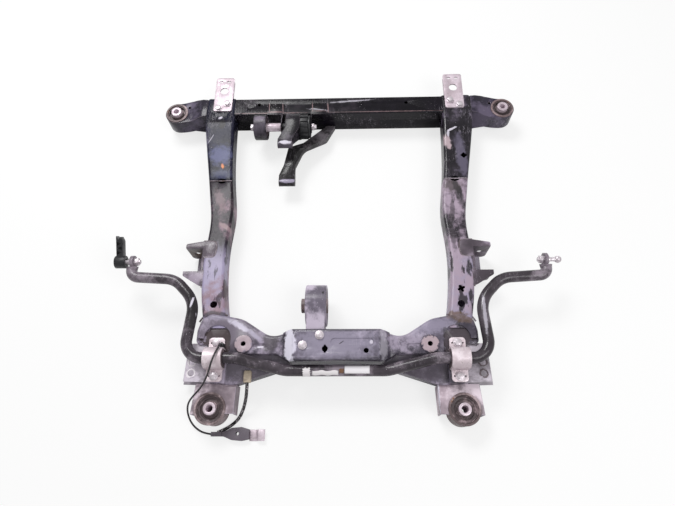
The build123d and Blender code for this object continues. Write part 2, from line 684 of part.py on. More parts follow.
def make_pockets():
    """Pockets beside the rear crossmember that hold the control arms' rear bushes."""
    depth = POCKET_TOP - POCKET_FLOOR
    rear, front = POCKET_ENDS
    reach = SEAT_OUTER + POCKET_REACH
    inner = SEAT_OUTER - 2 * PLATE
    with BuildPart() as pocket:
        with BuildSketch(Plane.XY.offset(POCKET_FLOOR)):
            Polygon(
                (inner, SEAT_BACK), (reach + POCKET_FOOT, rear), (reach + POCKET_FOOT - 4, front),
                (inner, front), align=None,
            )
        extrude(amount=PLATE)
        with BuildSketch(Plane.XY.offset(POCKET_FLOOR)):
            Polygon((inner, SEAT_BACK), (reach, rear), (reach - 4, front), (inner, front), align=None)
        extrude(amount=depth)
        top_edges = pocket.edges().group_by(Axis.Z)[-1].filter_by(lambda edge: edge.center().X > reach - 6)
        fillet(top_edges, 2 * PLATE)
        with BuildSketch(Plane.XY.offset(POCKET_FLOOR + PLATE)):
            with Locations((SEAT_OUTER + PLATE + FAR / 2, 0)):
                Rectangle(FAR, FAR)
        extrude(amount=depth - 2 * PLATE, mode=Mode.SUBTRACT)
        with BuildSketch(Plane.XY.offset(POCKET_TOP)):
            with Locations(*POCKET_HOLES):
                Circle(POCKET_HOLE_RADIUS + POCKET_RIM[0])
        extrude(amount=POCKET_RIM[1])
        with BuildSketch(Plane.XY.offset(POCKET_TOP - 2 * PLATE)):
            with Locations(*POCKET_HOLES):
                Circle(POCKET_HOLE_RADIUS)
        extrude(amount=FAR, mode=Mode.SUBTRACT)
        with BuildSketch(Plane.XY):
            add(crossmember_outline(0))
        extrude(amount=FAR, mode=Mode.SUBTRACT)
    save_pair(pocket.part, "corner_pocket")


def make_control_arm_lugs():
    """U brackets on the rails for the control arms' front bushes, with feet on the rail's top."""
    tip = LUG_ROOT + LUG_REACH
    lug_rear = LUG_FRONT - LUG_GAP
    with BuildPart() as lug:
        for y, turn, feet in ((LUG_FRONT, 1, LUG_FEET[0]), (lug_rear, -1, LUG_FEET[1])):
            near, far = y + turn * feet[0], y + turn * feet[1]
            with BuildSketch(Plane.XY.offset(RAIL_MID_TOP)):
                with BuildLine():
                    FilletPolyline(
                        (tip, y), (tip, y + turn * LUG_TAB), (LUG_ROOT, far), (LUG_FOOT_INNER, far),
                        (LUG_FOOT_INNER, near), (LUG_ROOT, near), (LUG_ROOT + 1, y),
                        radius=(1, 4, 20, 12, 12, 0.5, 0.5), close=True,
                    )
                make_face()
            extrude(amount=PLATE)
            with BuildSketch(Plane.XZ.offset(-y)):
                with BuildLine():
                    FilletPolyline(
                        (LUG_ROOT - 12, RAIL_MID_TOP + PLATE), (tip, RAIL_MID_TOP + PLATE),
                        (tip, LUG_FLOOR), (LUG_ROOT - 12, LUG_FLOOR), radius=(2, LUG_FOLD),
                    )
                    Line((LUG_ROOT - 12, LUG_FLOOR), (LUG_ROOT - 12, RAIL_MID_TOP + PLATE))
                make_face()
                with Locations((LUG_ROOT + LUG_BORE[0], LUG_BORE[1])):
                    Circle(LUG_BORE[2], mode=Mode.SUBTRACT)
            extrude(amount=-turn * LUG_PLATE)
        gap_middle = LUG_FRONT - LUG_GAP / 2
        with BuildSketch(Plane.XY.offset(LUG_FLOOR)):
            with Locations((LUG_ROOT, gap_middle)):
                Rectangle(2 * PLATE, LUG_GAP)
        extrude(amount=RAIL_MID_TOP - LUG_FLOOR)
        with BuildSketch(Plane.XY.offset(LUG_FLOOR)):
            with Locations((LUG_ROOT + (LUG_REACH - LUG_FOLD) / 2, gap_middle)):
                Rectangle(LUG_REACH - LUG_FOLD, LUG_GAP)
        extrude(amount=PLATE)
        add(RAIL_SOCKET, mode=Mode.SUBTRACT)
        with BuildSketch(Plane.XY.offset(LUG_FLOOR)):
            with Locations((0, gap_middle)):
                Rectangle(2 * (LUG_ROOT - 2 * PLATE), LUG_GAP * 3)
        extrude(amount=RAIL_MID_TOP - LUG_FLOOR, mode=Mode.SUBTRACT)
    save_pair(lug.part, "control_arm_bracket")


def bar_points():
    """Corners of the anti-roll bar's centre line, from the left end to the right."""
    right = [
        (BAR_KINK, *BAR_MIDDLE), (BAR_LEVEL, BAR_AXIS_Y, BAR_Z), (*BAR_KNEE, BAR_Z), BAR_FLARE,
        BAR_SHOULDER, (EYE_X, EYE_Y - EYE_NECK - BAR_TAIL, EYE_Z), (EYE_X, EYE_Y - EYE_NECK, EYE_Z),
    ]
    left = [(-x, y, z) for x, y, z in reversed(right)]
    return left + right


def make_anti_roll_bar():
    """The bent bar with its flattened ends and the holes for the ball studs."""
    radii = (*reversed(BAR_RADII), *BAR_RADII)
    tube_end = EYE_Y - EYE_NECK
    with BuildPart() as bar:
        with BuildLine():
            line = FilletPolyline(*bar_points(), radius=radii)
        with BuildSketch(Plane(origin=line @ 0, z_dir=line % 0)):
            Circle(BAR_RADIUS)
        sweep(path=line)
        print("bar volume", bar.part.volume, "by length", line.length * pi * BAR_RADIUS**2)
        for x in (-EYE_X, EYE_X):
            with BuildSketch(Plane(origin=(x, tube_end, EYE_Z), z_dir=(0, 1, 0))):
                Circle(BAR_RADIUS)
            with BuildSketch(Plane(origin=(x, tube_end + EYE_FLARE, EYE_Z), z_dir=(0, 1, 0))):
                Ellipse(EYE_THICK / 2, EYE_RADIUS)
            loft()
            with BuildSketch(Plane.YZ.offset(x - EYE_THICK / 2)):
                with Locations((EYE_Y, EYE_Z)):
                    Circle(EYE_RADIUS)
            extrude(amount=EYE_THICK)
            with BuildSketch(Plane.YZ.offset(x - EYE_THICK / 2)):
                with Locations((EYE_Y, EYE_Z)):
                    Circle(STUD_RADIUS)
            extrude(amount=EYE_THICK, mode=Mode.SUBTRACT)
    save(bar.part, "anti_roll_bar")


def make_bar_clamps():
    """Rubber bushes of the anti-roll bar, the saddles over them and their bolts."""
    rubber_radius = BAR_RADIUS + BUSH_WALL
    saddle_radius = rubber_radius + CLAMP_WALL
    seat_middle = (BAR_AXIS_Y, (SEAT_FLOOR + BAR_Z) / 2)
    rise = BAR_Z - SEAT_FLOOR
    foot_width, foot_length, foot_thick = CLAMP_FOOT
    with BuildPart() as rubber:
        with BuildSketch(Plane.YZ.offset(CLAMP_X - BUSH_WIDTH / 2)):
            with Locations((BAR_AXIS_Y, BAR_Z)):
                Circle(rubber_radius)
            with Locations(seat_middle):
                Rectangle(2 * rubber_radius, rise)
            with Locations((BAR_AXIS_Y, BAR_Z)):
                Circle(BAR_RADIUS + BAR_FIT, mode=Mode.SUBTRACT)
        extrude(amount=BUSH_WIDTH)
    save_pair(rubber.part, "bar_bush")

    with BuildPart() as saddle:
        with BuildSketch(Plane.YZ.offset(CLAMP_X - CLAMP_WIDTH / 2)):
            with Locations((BAR_AXIS_Y, BAR_Z)):
                Circle(saddle_radius)
            with Locations(seat_middle):
                Rectangle(2 * saddle_radius, rise)
            with Locations((BAR_AXIS_Y, SEAT_FLOOR - FAR / 2)):
                Rectangle(FAR, FAR, mode=Mode.SUBTRACT)
        extrude(amount=CLAMP_WIDTH)
        fillet(saddle.edges().filter_by(GeomType.CIRCLE), CLAMP_WALL / 2)
        with BuildSketch(Plane.XY.offset(SEAT_FLOOR)):
            with Locations((CLAMP_X, BAR_AXIS_Y)):
                RectangleRounded(foot_width, 2 * (saddle_radius + foot_length), 8)
        extrude(amount=foot_thick)
        with BuildSketch(Plane.YZ.offset(CLAMP_X - CLAMP_WIDTH / 2)):
            with Locations((BAR_AXIS_Y, BAR_Z)):
                Circle(rubber_radius)
            with Locations(seat_middle):
                Rectangle(2 * rubber_radius, rise)
        extrude(amount=CLAMP_WIDTH, mode=Mode.SUBTRACT)
        with BuildSketch(Plane.XY.offset(SEAT_FLOOR)):
            for reach in (-CLAMP_BOLT_REACH, CLAMP_BOLT_REACH):
                with Locations((CLAMP_X, BAR_AXIS_Y + reach)):
                    Circle(BOLT_SHANK)
                    with Locations((-CLAMP_PIN_REACH, 0), (CLAMP_PIN_REACH, 0)):
                        Circle(CLAMP_PIN_RADIUS)
        extrude(amount=foot_thick, mode=Mode.SUBTRACT)
    save_pair(saddle.part, "bar_clamp")

    bolt_seat = SEAT_FLOOR + foot_thick
    with BuildPart() as bolts:
        for reach in (-CLAMP_BOLT_REACH, CLAMP_BOLT_REACH):
            add(flange_bolt(CLAMP_X, BAR_AXIS_Y + reach, bolt_seat, foot_thick + CLAMP_BOLT_DEPTH))
        mirror(about=Plane.YZ)
    save(bolts.part, "clamp_bolts")


def make_ball_studs():
    """Ball studs through the bar's eyes, each with a collar outside and a nut inside."""
    for side, name in ((-1, "left"), (1, "right")):
        with BuildPart() as stud:
            inner = EYE_X - EYE_THICK / 2
            outer = EYE_X + EYE_THICK / 2
            add(x_cylinder(STUD_RADIUS, (inner - NUT_SIZE[1] - 4, outer), EYE_Y, EYE_Z))
            add(x_cylinder(STUD_COLLAR, (outer, outer + 4), EYE_Y, EYE_Z))
            add(x_cylinder(STUD_RADIUS, (outer, BALL_X), EYE_Y, EYE_Z))
            with Locations((BALL_X, EYE_Y, EYE_Z)):
                Sphere(BALL_RADIUS)
            with BuildSketch(Plane.YZ.offset(inner - NUT_SIZE[1])):
                with Locations((EYE_Y, EYE_Z)):
                    RegularPolygon(NUT_SIZE[0] / 2, 6, major_radius=False)
            extrude(amount=NUT_SIZE[1])
        save(stud.part if side > 0 else mirror(stud.part, about=Plane.YZ), f"ball_stud_{name}")


def make_drop_link():
    """What is left of the left drop link: its moulded ball socket and a broken, latticed bar."""
    socket_radius, socket_width = LINK_SOCKET
    width, height = LINK_SECTION
    near = BALL_X - socket_width / 2
    lift = Plane(
        origin=(BALL_X, EYE_Y, EYE_Z),
        x_dir=(0, cos(radians(LINK_TILT)), sin(radians(LINK_TILT))),
        z_dir=(0, -sin(radians(LINK_TILT)), cos(radians(LINK_TILT))),
    )
    with BuildPart() as link:
        add(x_cylinder(socket_radius, (near, near + socket_width), EYE_Y, EYE_Z))
        with BuildSketch(lift.offset(-height / 2)):
            with BuildLine():
                Polyline(
                    (0, -width / 2), (LINK_LENGTH, -width / 2), (LINK_LENGTH - 9, -width / 6),
                    (LINK_LENGTH - 2, width / 5), (LINK_LENGTH - 12, width / 2), (0, width / 2),
                    close=True,
                )
            make_face()
        extrude(amount=height)
        bay = (LINK_LENGTH - socket_radius - 16) / LINK_BAYS
        for face_height, depth in ((height / 2, -LINK_POCKET), (-height / 2, LINK_POCKET)):
            with BuildSketch(lift.offset(face_height)):
                for index in range(LINK_BAYS):
                    start = socket_radius + 3 + index * bay
                    turn = 1 if index % 2 else -1
                    Polygon(
                        (start, turn * (width / 2 - 2)), (start + bay - 2, turn * (width / 2 - 2)),
                        (start + bay / 2, -turn * (width / 2 - 3)), align=None,
                    )
            extrude(amount=depth, mode=Mode.SUBTRACT)
        with Locations((BALL_X, EYE_Y, EYE_Z)):
            Sphere(BALL_RADIUS + LINK_GAP, mode=Mode.SUBTRACT)
        add(
            x_cylinder(STUD_RADIUS + 2, (near - 1, BALL_X), EYE_Y, EYE_Z),
            mode=Mode.SUBTRACT,
        )
    save(mirror(link.part, about=Plane.YZ), "drop_link_stub")


def make_support_brackets():
    """Galvanised plates on the front crossmember that reach forward, and their bolts."""
    rear, front = SUPPORT_ENDS
    seat = BEAM_HEIGHT + PLATE
    bolts_at = [(SUPPORT_X + x, y) for x, y in SUPPORT_BOLTS]
    with BuildPart() as bracket:
        with BuildSketch(Plane.XY.offset(seat)):
            with Locations((SUPPORT_X, (rear + front) / 2)):
                RectangleRounded(SUPPORT_WIDTH, front - rear, 7)
            with Locations((SUPPORT_X, SUPPORT_HOLE[0])):
                Circle(SUPPORT_HOLE[1], mode=Mode.SUBTRACT)
            with Locations((SUPPORT_X - 10, front - 14), (SUPPORT_X + 12, front - 14)):
                SlotOverall(12, 6, mode=Mode.SUBTRACT)
            with Locations(*bolts_at):
                Circle(BOLT_SHANK, mode=Mode.SUBTRACT)
        extrude(amount=SUPPORT_THICK)
        lip_length = front - BEAM_FRONT - 16
        with BuildSketch(Plane.XY.offset(seat + SUPPORT_THICK - SUPPORT_LIP)):
            for side in (-1, 1):
                edge = SUPPORT_X + side * (SUPPORT_WIDTH - SUPPORT_THICK) / 2
                with Locations((edge, BEAM_FRONT + 4 + lip_length / 2)):
                    Rectangle(SUPPORT_THICK, lip_length)
        extrude(amount=SUPPORT_LIP)
    save_pair(bracket.part, "support_bracket")

    with BuildPart() as bolts:
        for x, y in bolts_at:
            add(flange_bolt(x, y, seat + SUPPORT_THICK, SUPPORT_THICK))
        mirror(about=Plane.YZ)
    save(bolts.part, "support_bolts")


def make_front_roll_mount():
    """Cheeks, cross bolt, weight ring, cast bracket with its bush, and the stay below."""
    axis_y, axis_z = ROLL_AXIS
    left, right = ROLL_CHEEKS
    for x, turn, name in ((left, -1, "left"), (right, 1, "right")):
        with BuildPart() as cheek:
            with BuildSketch(Plane.YZ.offset(x - PLATE / 2)):
                with BuildLine():
                    Polyline(
                        (BEAM_REAR, BEAM_HEIGHT - BEAM_SKIRT + 2), (BEAM_REAR, BEAM_HEIGHT),
                        (axis_y, axis_z + CHEEK_RADIUS), (axis_y, axis_z - CHEEK_RADIUS), close=True,
                    )
                make_face()
                with Locations(ROLL_AXIS):
                    Circle(CHEEK_RADIUS)
                    Circle(ROLL_BOLT_RADIUS, mode=Mode.SUBTRACT)
            extrude(amount=PLATE)
            tab_edge = x + turn * TAB_WIDTH
            with BuildSketch(Plane.XY.offset(BEAM_HEIGHT)):
                with Locations(((x + tab_edge) / 2, BEAM_REAR + TAB_DEPTH / 2 - PLATE / 2)):
                    Rectangle(TAB_WIDTH + PLATE, TAB_DEPTH + PLATE)
            extrude(amount=PLATE)
            with BuildSketch(Plane.XZ.offset(-BEAM_REAR)):
                Polygon(
                    (x, BEAM_HEIGHT + PLATE), (tab_edge, BEAM_HEIGHT + PLATE),
                    (x + turn * PLATE, BEAM_HEIGHT - BEAM_SKIRT + 2),
                    (x, BEAM_HEIGHT - BEAM_SKIRT + 2), align=None,
                )
            extrude(amount=PLATE)
        save(cheek.part, f"roll_mount_cheek_{name}")

    with BuildPart() as bolt:
        start = ROLL_RING[0] - 4
        end = right + PLATE / 2
        add(x_cylinder(ROLL_BOLT_RADIUS, (start, end + 14), axis_y, axis_z))
        for place in (start - BOLT_HEIGHT, end):
            with BuildSketch(Plane.YZ.offset(place)):
                with Locations(ROLL_AXIS):
                    RegularPolygon(NUT_SIZE[0] / 2, 6, major_radius=False)
            extrude(amount=BOLT_HEIGHT + (4 if place < start else 0))
    save(bolt.part, "roll_mount_bolt")

    with BuildPart() as ring:
        add(x_cylinder(ROLL_RING_RADIUS, ROLL_RING, axis_y, axis_z))
        fillet(ring.edges().filter_by(GeomType.CIRCLE), 3)
        add(x_cylinder(ROLL_RING_RADIUS - ROLL_RING_WALL, ROLL_RING, axis_y, axis_z), mode=Mode.SUBTRACT)
    save(ring.part, "roll_mount_ring")

    with BuildPart() as core:
        add(x_cylinder(ROLL_RING_RADIUS - ROLL_RING_WALL, (ROLL_RING[0] + 3, ROLL_RING[1] - 3), axis_y, axis_z))
        add(x_cylinder(SPACER_RADIUS, ROLL_RING, axis_y, axis_z), mode=Mode.SUBTRACT)
    save(core.part, "roll_mount_ring_rubber")

    with BuildPart() as spacer:
        add(x_cylinder(SPACER_RADIUS, (ROLL_RING[0], left - PLATE / 2), axis_y, axis_z))
        add(x_cylinder(ROLL_BOLT_RADIUS, (ROLL_RING[0], left - PLATE / 2), axis_y, axis_z), mode=Mode.SUBTRACT)
    save(spacer.part, "roll_mount_spacer")

    hub_y = ROLL_AXIS[0]
    hub_wall = ROLL_RING_WALL
    eye_y, eye_z = ROLL_EYE
    with BuildPart() as arm:
        add(x_cylinder(ROLL_HUB_RADIUS, ROLL_HUB, axis_y, axis_z))
        with BuildSketch(Plane.YZ.offset(ROLL_EYE_X[0])):
            Polygon(
                (hub_y, axis_z + ROLL_HUB_RADIUS), (hub_y - ROLL_HUB_RADIUS + 4, axis_z - 14),
                (eye_y - 4, eye_z - ROLL_EYE_RADIUS + 2), (eye_y - 4, eye_z + ROLL_EYE_RADIUS - 2),
                align=None,
            )
        extrude(amount=ROLL_HUB[1] - ROLL_EYE_X[0])
        with BuildSketch(Plane.XY):
            Polygon(
                (ROLL_HUB[0], axis_y + FAR), (ROLL_HUB[0], axis_y - 24), (ROLL_EYE_X[0], eye_y + 12),
                (ROLL_EYE_X[0], eye_y - FAR), (ROLL_EYE_X[1], eye_y - FAR),
                (ROLL_EYE_X[1], eye_y + 12), (ROLL_HUB[1], axis_y - 24), (ROLL_HUB[1], axis_y + FAR),
                align=None,
            )
        extrude(amount=FAR, mode=Mode.INTERSECT)
        add(x_cylinder(ROLL_EYE_RADIUS, ROLL_EYE_X, eye_y, eye_z))
        add(x_cylinder(ROLL_BOLT_RADIUS, ROLL_EYE_X, eye_y, eye_z), mode=Mode.SUBTRACT)
        add(
            x_cylinder(ROLL_HUB_RADIUS - hub_wall, (ROLL_EYE_X[0], ROLL_HUB[1]), axis_y, axis_z),
            mode=Mode.SUBTRACT,
        )
    save(arm.part, "roll_mount_arm")

    bush_end = right - PLATE / 2
    with BuildPart() as bush:
        add(x_cylinder(ROLL_HUB_RADIUS - hub_wall, (ROLL_HUB[0], bush_end - 6), axis_y, axis_z))
        with BuildSketch(Plane.YZ.offset(ROLL_HUB[1])):
            with Locations(ROLL_AXIS):
                Circle(ROLL_HUB_RADIUS - 2)
                with PolarLocations(ROLL_HUB_RADIUS - 2, BUSH_RIBS):
                    Rectangle(7, 4, mode=Mode.SUBTRACT)
        extrude(amount=bush_end - 6 - ROLL_HUB[1])
        add(x_cylinder(SPACER_RADIUS, (ROLL_HUB[0], bush_end - 6), axis_y, axis_z), mode=Mode.SUBTRACT)
    save(bush.part, "roll_mount_bush")

    with BuildPart() as inner:
        add(x_cylinder(SPACER_RADIUS, (left + PLATE / 2, bush_end), axis_y, axis_z))
        add(x_cylinder(ROLL_HUB_RADIUS - 5, (bush_end - 6, bush_end), axis_y, axis_z))
        add(x_cylinder(ROLL_BOLT_RADIUS, (left, bush_end), axis_y, axis_z), mode=Mode.SUBTRACT)
    save(inner.part, "roll_mount_sleeve")


def make_roll_stay():
    """The stay that runs down and back from under the front crossmember to its own eye."""
    boss_y, boss_z = STAY_BOSS
    with BuildPart() as stay:
        with BuildSketch(Plane.XY):
            with BuildLine():
                FilletPolyline(
                    (-35, BEAM_REAR), (-100, 745), (-142, 725), (-153, 663), (STAY_BOSS_X[0], 630),
                    (STAY_BOSS_X[0], boss_y), (STAY_BOSS_X[1], boss_y), (-121, 661), (-100, 712),
                    (-34, 765), (-10, BEAM_REAR),
                    radius=(1, 15, 15, 40, 10, 1, 1, 30, 40, 20, 1), close=True,
                )
            make_face()
        extrude(amount=BEAM_HEIGHT)
        with BuildSketch(Plane.YZ):
            Polygon(
                (BEAM_REAR, 4), (BEAM_REAR, 22), (720, boss_z + 8), (boss_y, boss_z + 10),
                (boss_y, boss_z - 10), (720, boss_z - 8), (760, 20), align=None,
            )
        extrude(amount=FAR, both=True, mode=Mode.INTERSECT)
        add(x_cylinder(ROLL_EYE_RADIUS, STAY_BOSS_X, boss_y, boss_z))
        add(x_cylinder(ROLL_BOLT_RADIUS, STAY_BOSS_X, boss_y, boss_z), mode=Mode.SUBTRACT)
    save(stay.part, "roll_mount_stay")


def make_rear_roll_mount():
    """Bracket, ring, rubber, sleeve and bolts of the roll mount before the rear crossmember."""
    axis_y, axis_z = REAR_RING
    middle = (REAR_RING_X[0] + REAR_RING_X[1]) / 2
    core = REAR_RING_RADIUS - REAR_RING_WALL
    with BuildPart() as bracket:
        add(x_cylinder(REAR_RING_RADIUS, REAR_RING_X, axis_y, axis_z))
        fillet(bracket.edges().filter_by(GeomType.CIRCLE), 3)
        with BuildSketch(Plane.XY.offset(CROSS_FLOOR + 4)):
            with Locations((middle, (CROSS_FRONT + axis_y) / 2)):
                Rectangle(REAR_STEM, axis_y - CROSS_FRONT)
        extrude(amount=PLATFORM_TOP - CROSS_FLOOR - 20)
        add(x_cylinder(core, REAR_RING_X, axis_y, axis_z), mode=Mode.SUBTRACT)
    save(bracket.part, "rear_roll_bracket")

    with BuildPart() as rubber:
        add(x_cylinder(core, (REAR_RING_X[0] + 2, REAR_RING_X[1] - 2), axis_y, axis_z))
        add(x_cylinder(REAR_SLEEVE_RADIUS, REAR_RING_X, axis_y, axis_z), mode=Mode.SUBTRACT)
        with BuildSketch(Plane.YZ.offset(REAR_RING_X[0])):
            with Locations(REAR_RING):
                with PolarLocations((core + REAR_SLEEVE_RADIUS) / 2, 2, start_angle=90):
                    SlotOverall(36, 10, rotation=90)
        extrude(amount=FAR, mode=Mode.SUBTRACT)
    save(rubber.part, "rear_roll_rubber")

    with BuildPart() as sleeve:
        add(x_cylinder(REAR_SLEEVE_RADIUS, REAR_SLEEVE_X, axis_y, axis_z))
        add(x_cylinder(ROLL_BOLT_RADIUS, REAR_SLEEVE_X, axis_y, axis_z), mode=Mode.SUBTRACT)
    save(sleeve.part, "rear_roll_sleeve")

    with BuildPart() as bolts:
        for x, y in REAR_BOLTS:
            add(flange_bolt(x, y, PLATFORM_TOP, 2 * BOLT_SHANK))
    save(bolts.part, "platform_bolts")


def tube(route, radius):
    """A plain tube along a hand-chosen route, its arcs as large as the runs allow."""
    points = [Vector(*point) for point in route]
    radii = []
    for before, corner, after in zip(points, points[1:], points[2:]):
        into, out = corner - before, after - corner
        turn = radians(into.get_angle(out))
        radii.append(0.45 * min(into.length, out.length) / tan(turn / 2))
    print("bend radii", [round(value, 1) for value in radii])
    with BuildPart() as part:
        with BuildLine():
            path = FilletPolyline(*points, radius=radii)
        with BuildSketch(Plane(origin=path @ 0, z_dir=path % 0)):
            Circle(radius)
        sweep(path=path)
    print("tube volume", part.part.volume, "by length", path.length * pi * radius**2)
    return part.part


def make_sensor_lead():
    """Connector on the crossmember, conduit, clip, thin cable, and the sensor on the floor."""
    width, length, height = CONNECTOR
    with BuildPart() as connector:
        with BuildSketch(Plane.XY.offset(TROUGH_FLOOR)):
            with Locations((CONDUIT_ROUTE[0][0], CONNECTOR_END + length / 2)):
                RectangleRounded(width, length, width / 6)
        extrude(amount=height)
    save(connector.part, "lead_connector")
    save(tube(CONDUIT_ROUTE, CONDUIT_RADIUS), "lead_conduit")

    with BuildPart() as clip:
        with BuildSketch(Plane.XY.offset(SEAT_FLOOR + CLAMP_FOOT[2])):
            with Locations(CLIP_CENTRE):
                RectangleRounded(*CLIP_SIZE[:2], CLIP_SIZE[1] / 4)
        extrude(amount=CLIP_SIZE[2])
    save(clip.part, "lead_clip")
    save(tube(CABLE_ROUTE, CABLE_RADIUS), "lead_cable")

    tail_left, tail_right, tail_rear, tail_front = SENSOR_TAIL
    with BuildPart() as sensor:
        with BuildSketch(Plane.XY):
            Polygon(*SENSOR_OUTLINE, align=None)
        extrude(amount=SENSOR_HEIGHT)
        with BuildSketch(Plane.XY):
            with Locations(((tail_left + tail_right) / 2, (tail_rear + tail_front) / 2)):
                Rectangle(tail_right - tail_left, tail_front - tail_rear)
        extrude(amount=SENSOR_TAIL_HEIGHT)
        with BuildSketch(Plane.XY):
            with Locations(SENSOR_HOLE[:2]):
                Circle(SENSOR_HOLE[2])
        extrude(amount=SENSOR_HEIGHT, mode=Mode.SUBTRACT)
    save(sensor.part, "sensor_body")

    plate_rear, plate_front = SENSOR_PLATE_DEPTH
    with BuildPart() as plate:
        with BuildSketch(Plane.XZ.offset(-plate_front)):
            Polygon(*SENSOR_PLATE, align=None)
        extrude(amount=plate_front - plate_rear)
    save(plate.part, "sensor_bracket")


CROSSMEMBER = crossmember_form(0)
RAIL_SOCKET = rail_form(0, (SOCKET_DEPTH, RAIL_SEAM))

make_front_crossmember()
make_front_ears()
make_side_rails()
make_crossmember_shell()
make_crossmember_pan()
make_rear_arms()
make_pockets()
make_control_arm_lugs()
make_mount_bush(
    "rear_bush", (REAR_X, 0), REAR_BUSH_RADIUS, (2, ARM_TOP), REAR_BORE_RADIUS,
    (0, REAR_SLEEVE_TOP), False,
)
make_mount_bush(
    "front_bush", (FRONT_X, MOUNT_LENGTH), FRONT_BUSH_RADIUS, (EAR_FLOOR, EAR_TOP),
    FRONT_BORE_RADIUS, (FRONT_SLEEVE_BOTTOM, FRONT_SLEEVE_TOP), True,
)
make_anti_roll_bar()
make_bar_clamps()
make_ball_studs()
make_drop_link()
make_support_brackets()
make_front_roll_mount()
make_roll_stay()
make_rear_roll_mount()
make_sensor_lead()
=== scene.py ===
import bpy
import bmesh
import json
from math import cos, degrees, radians, sin, tau
from mathutils import Matrix, Vector


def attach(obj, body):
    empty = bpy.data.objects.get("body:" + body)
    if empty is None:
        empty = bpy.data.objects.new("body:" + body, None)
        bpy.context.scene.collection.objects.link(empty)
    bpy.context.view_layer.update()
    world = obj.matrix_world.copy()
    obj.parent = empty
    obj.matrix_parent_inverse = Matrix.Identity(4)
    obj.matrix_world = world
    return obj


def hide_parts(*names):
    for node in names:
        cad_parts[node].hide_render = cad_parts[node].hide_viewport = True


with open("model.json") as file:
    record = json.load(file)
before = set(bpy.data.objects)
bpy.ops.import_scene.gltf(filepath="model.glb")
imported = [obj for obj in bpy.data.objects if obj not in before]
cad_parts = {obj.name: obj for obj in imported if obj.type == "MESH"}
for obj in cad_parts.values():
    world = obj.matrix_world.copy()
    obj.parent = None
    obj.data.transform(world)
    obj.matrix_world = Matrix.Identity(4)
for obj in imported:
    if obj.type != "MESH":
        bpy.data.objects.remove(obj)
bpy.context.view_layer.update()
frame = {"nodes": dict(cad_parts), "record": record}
RECORD = frame["record"]
BODY_OF = {n: body for body, nodes in RECORD["behaviour"]["bodies"].items() for n in nodes}

# Camera, solved from the photograph: metres, degrees, millimetres of lens
CAMERA_AT = (0.04275, -0.12998, 1.28477)
CAMERA_PITCH = 66.87
CAMERA_YAW = -4.6
CAMERA_ROLL = -4.64
CAMERA_LENS = 27.2
SENSOR_WIDTH = 36.0

# Studio: name, place, sides and watts of each lamp
LAMPS = (
    ("key_lamp", (-0.9, 1.9, 2.4), (1.2, 0.9), 50),
    ("fill_lamp", (1.4, -0.6, 2.2), (1.2, 1.2), 22),
)
LAMP_TARGET = (0, 0.42, 0)
WORLD_LEVEL = 0.46
FLOOR_HALF = 6.0
FLOOR_LEVEL = -0.0004
FLOOR_GREY = 0.9
FLOOR_ROUGHNESS = 0.9
FLOOR_GLOW = 0.72

# Rounded edges of the dressed pieces: metres and degrees
PLATE_BEVEL = 0.0012
BOLT_BEVEL = 0.00035
BEVEL_SEGMENTS = 2
MERGE_REACH = 2e-6
FLAT_ANGLE = 0.6
BEVEL_ANGLE = 32
SMOOTH_ANGLE = 38

# Sockets of a colour Mix node, whose names are shared with its other kinds
MIX_FIRST = 6
MIX_SECOND = 7
MIX_RESULT = 2

# Noise scales per metre, and the bands of noise over which a layer sets in
CLOUD_SCALE = 7
FILM_BAND = (0.60, 0.72)
FILM_SHIFT = 0.20
FILM_LEAST = 0.45
MOTTLE_SCALE = 14
MOTTLE_BAND = (0.35, 0.65)
MOTTLE_SHADE = 0.45
DRAG_SCALE = 16
DRAG_STRETCH = (3.2, 0.9, 1)
DRAG_TURN = 0.12
DRAG_BAND = (0.54, 0.60)
DRAG_SHADE = 0.25
SCRATCH_SCALE = 26
SCRATCH_STRETCH = (6.0, 0.6, 1)
SCRATCH_TURN = 0.5
SCRATCH_BAND = (0.006, 0.002)
SCRATCH_PATCH_SCALE = 9
SCRATCH_PATCH_BAND = (0.50, 0.60)
SPECK_SCALE = 170
SPECK_BAND = (0.16, 0.09)
SPECK_PATCH_SCALE = 11
SPECK_PATCH_BAND = (0.52, 0.62)
RUST_SCALE = 38
RUST_BAND = (0.70, 0.76)
RUST_SHIFT = 0.16
RUST_GRAIN_SCALE = 120
RUST_ROUGHNESS = 0.85
GLOSS_BAND = (0.45, 0.7)
GLOSS_RANGE = 0.25
RAGGED_SCALE = 90
RAGGED_BAND = (0.3, 0.7)
MARK_RAGGED = 0.25
METAL_SCALE = 30
METAL_BAND = (0.38, 0.68)
METAL_GRAIN_SCALE = 500
METAL_ROUGH_BAND = (0.4, 0.65)
METAL_ROUGH_RANGE = 0.15
STAIN_SCALE = 90
STAIN_BAND = (0.60, 0.68)
DUST_SCALE = 45
DUST_BAND = (0.75, 0.95)
DUST_SHIFT = 0.3
DUST_ROUGH_BAND = (0.4, 0.7)

# Relief of the surfaces: depths in metres
PAINT_WAVE_SCALE = 55
PAINT_WAVE_DEPTH = 0.0006
PAINT_GRAIN_SCALE = 420
PAINT_GRAIN_DEPTH = 0.00012
METAL_GRAIN_DEPTH = 0.00015
METAL_WAVE_DEPTH = 0.0004
SOFT_GRAIN_DEPTH = 0.0002

# Colours that recur
PALE = (0.74, 0.70, 0.80)
PINK = (0.55, 0.43, 0.47)
SOOT = (0.030, 0.027, 0.030)
BROWN = (0.15, 0.095, 0.065)
CHALK = (0.75, 0.25, 0.08)
FOOTPRINT = (0.30, 0.20, 0.21)
SCRATCH_TINT = (0.55, 0.50, 0.58)
SPECK_TINT = (0.75, 0.70, 0.76)
RUST_DARK = (0.10, 0.035, 0.012)
RUST_PALE = (0.30, 0.14, 0.06)
STAIN_TINT = (0.12, 0.075, 0.05)

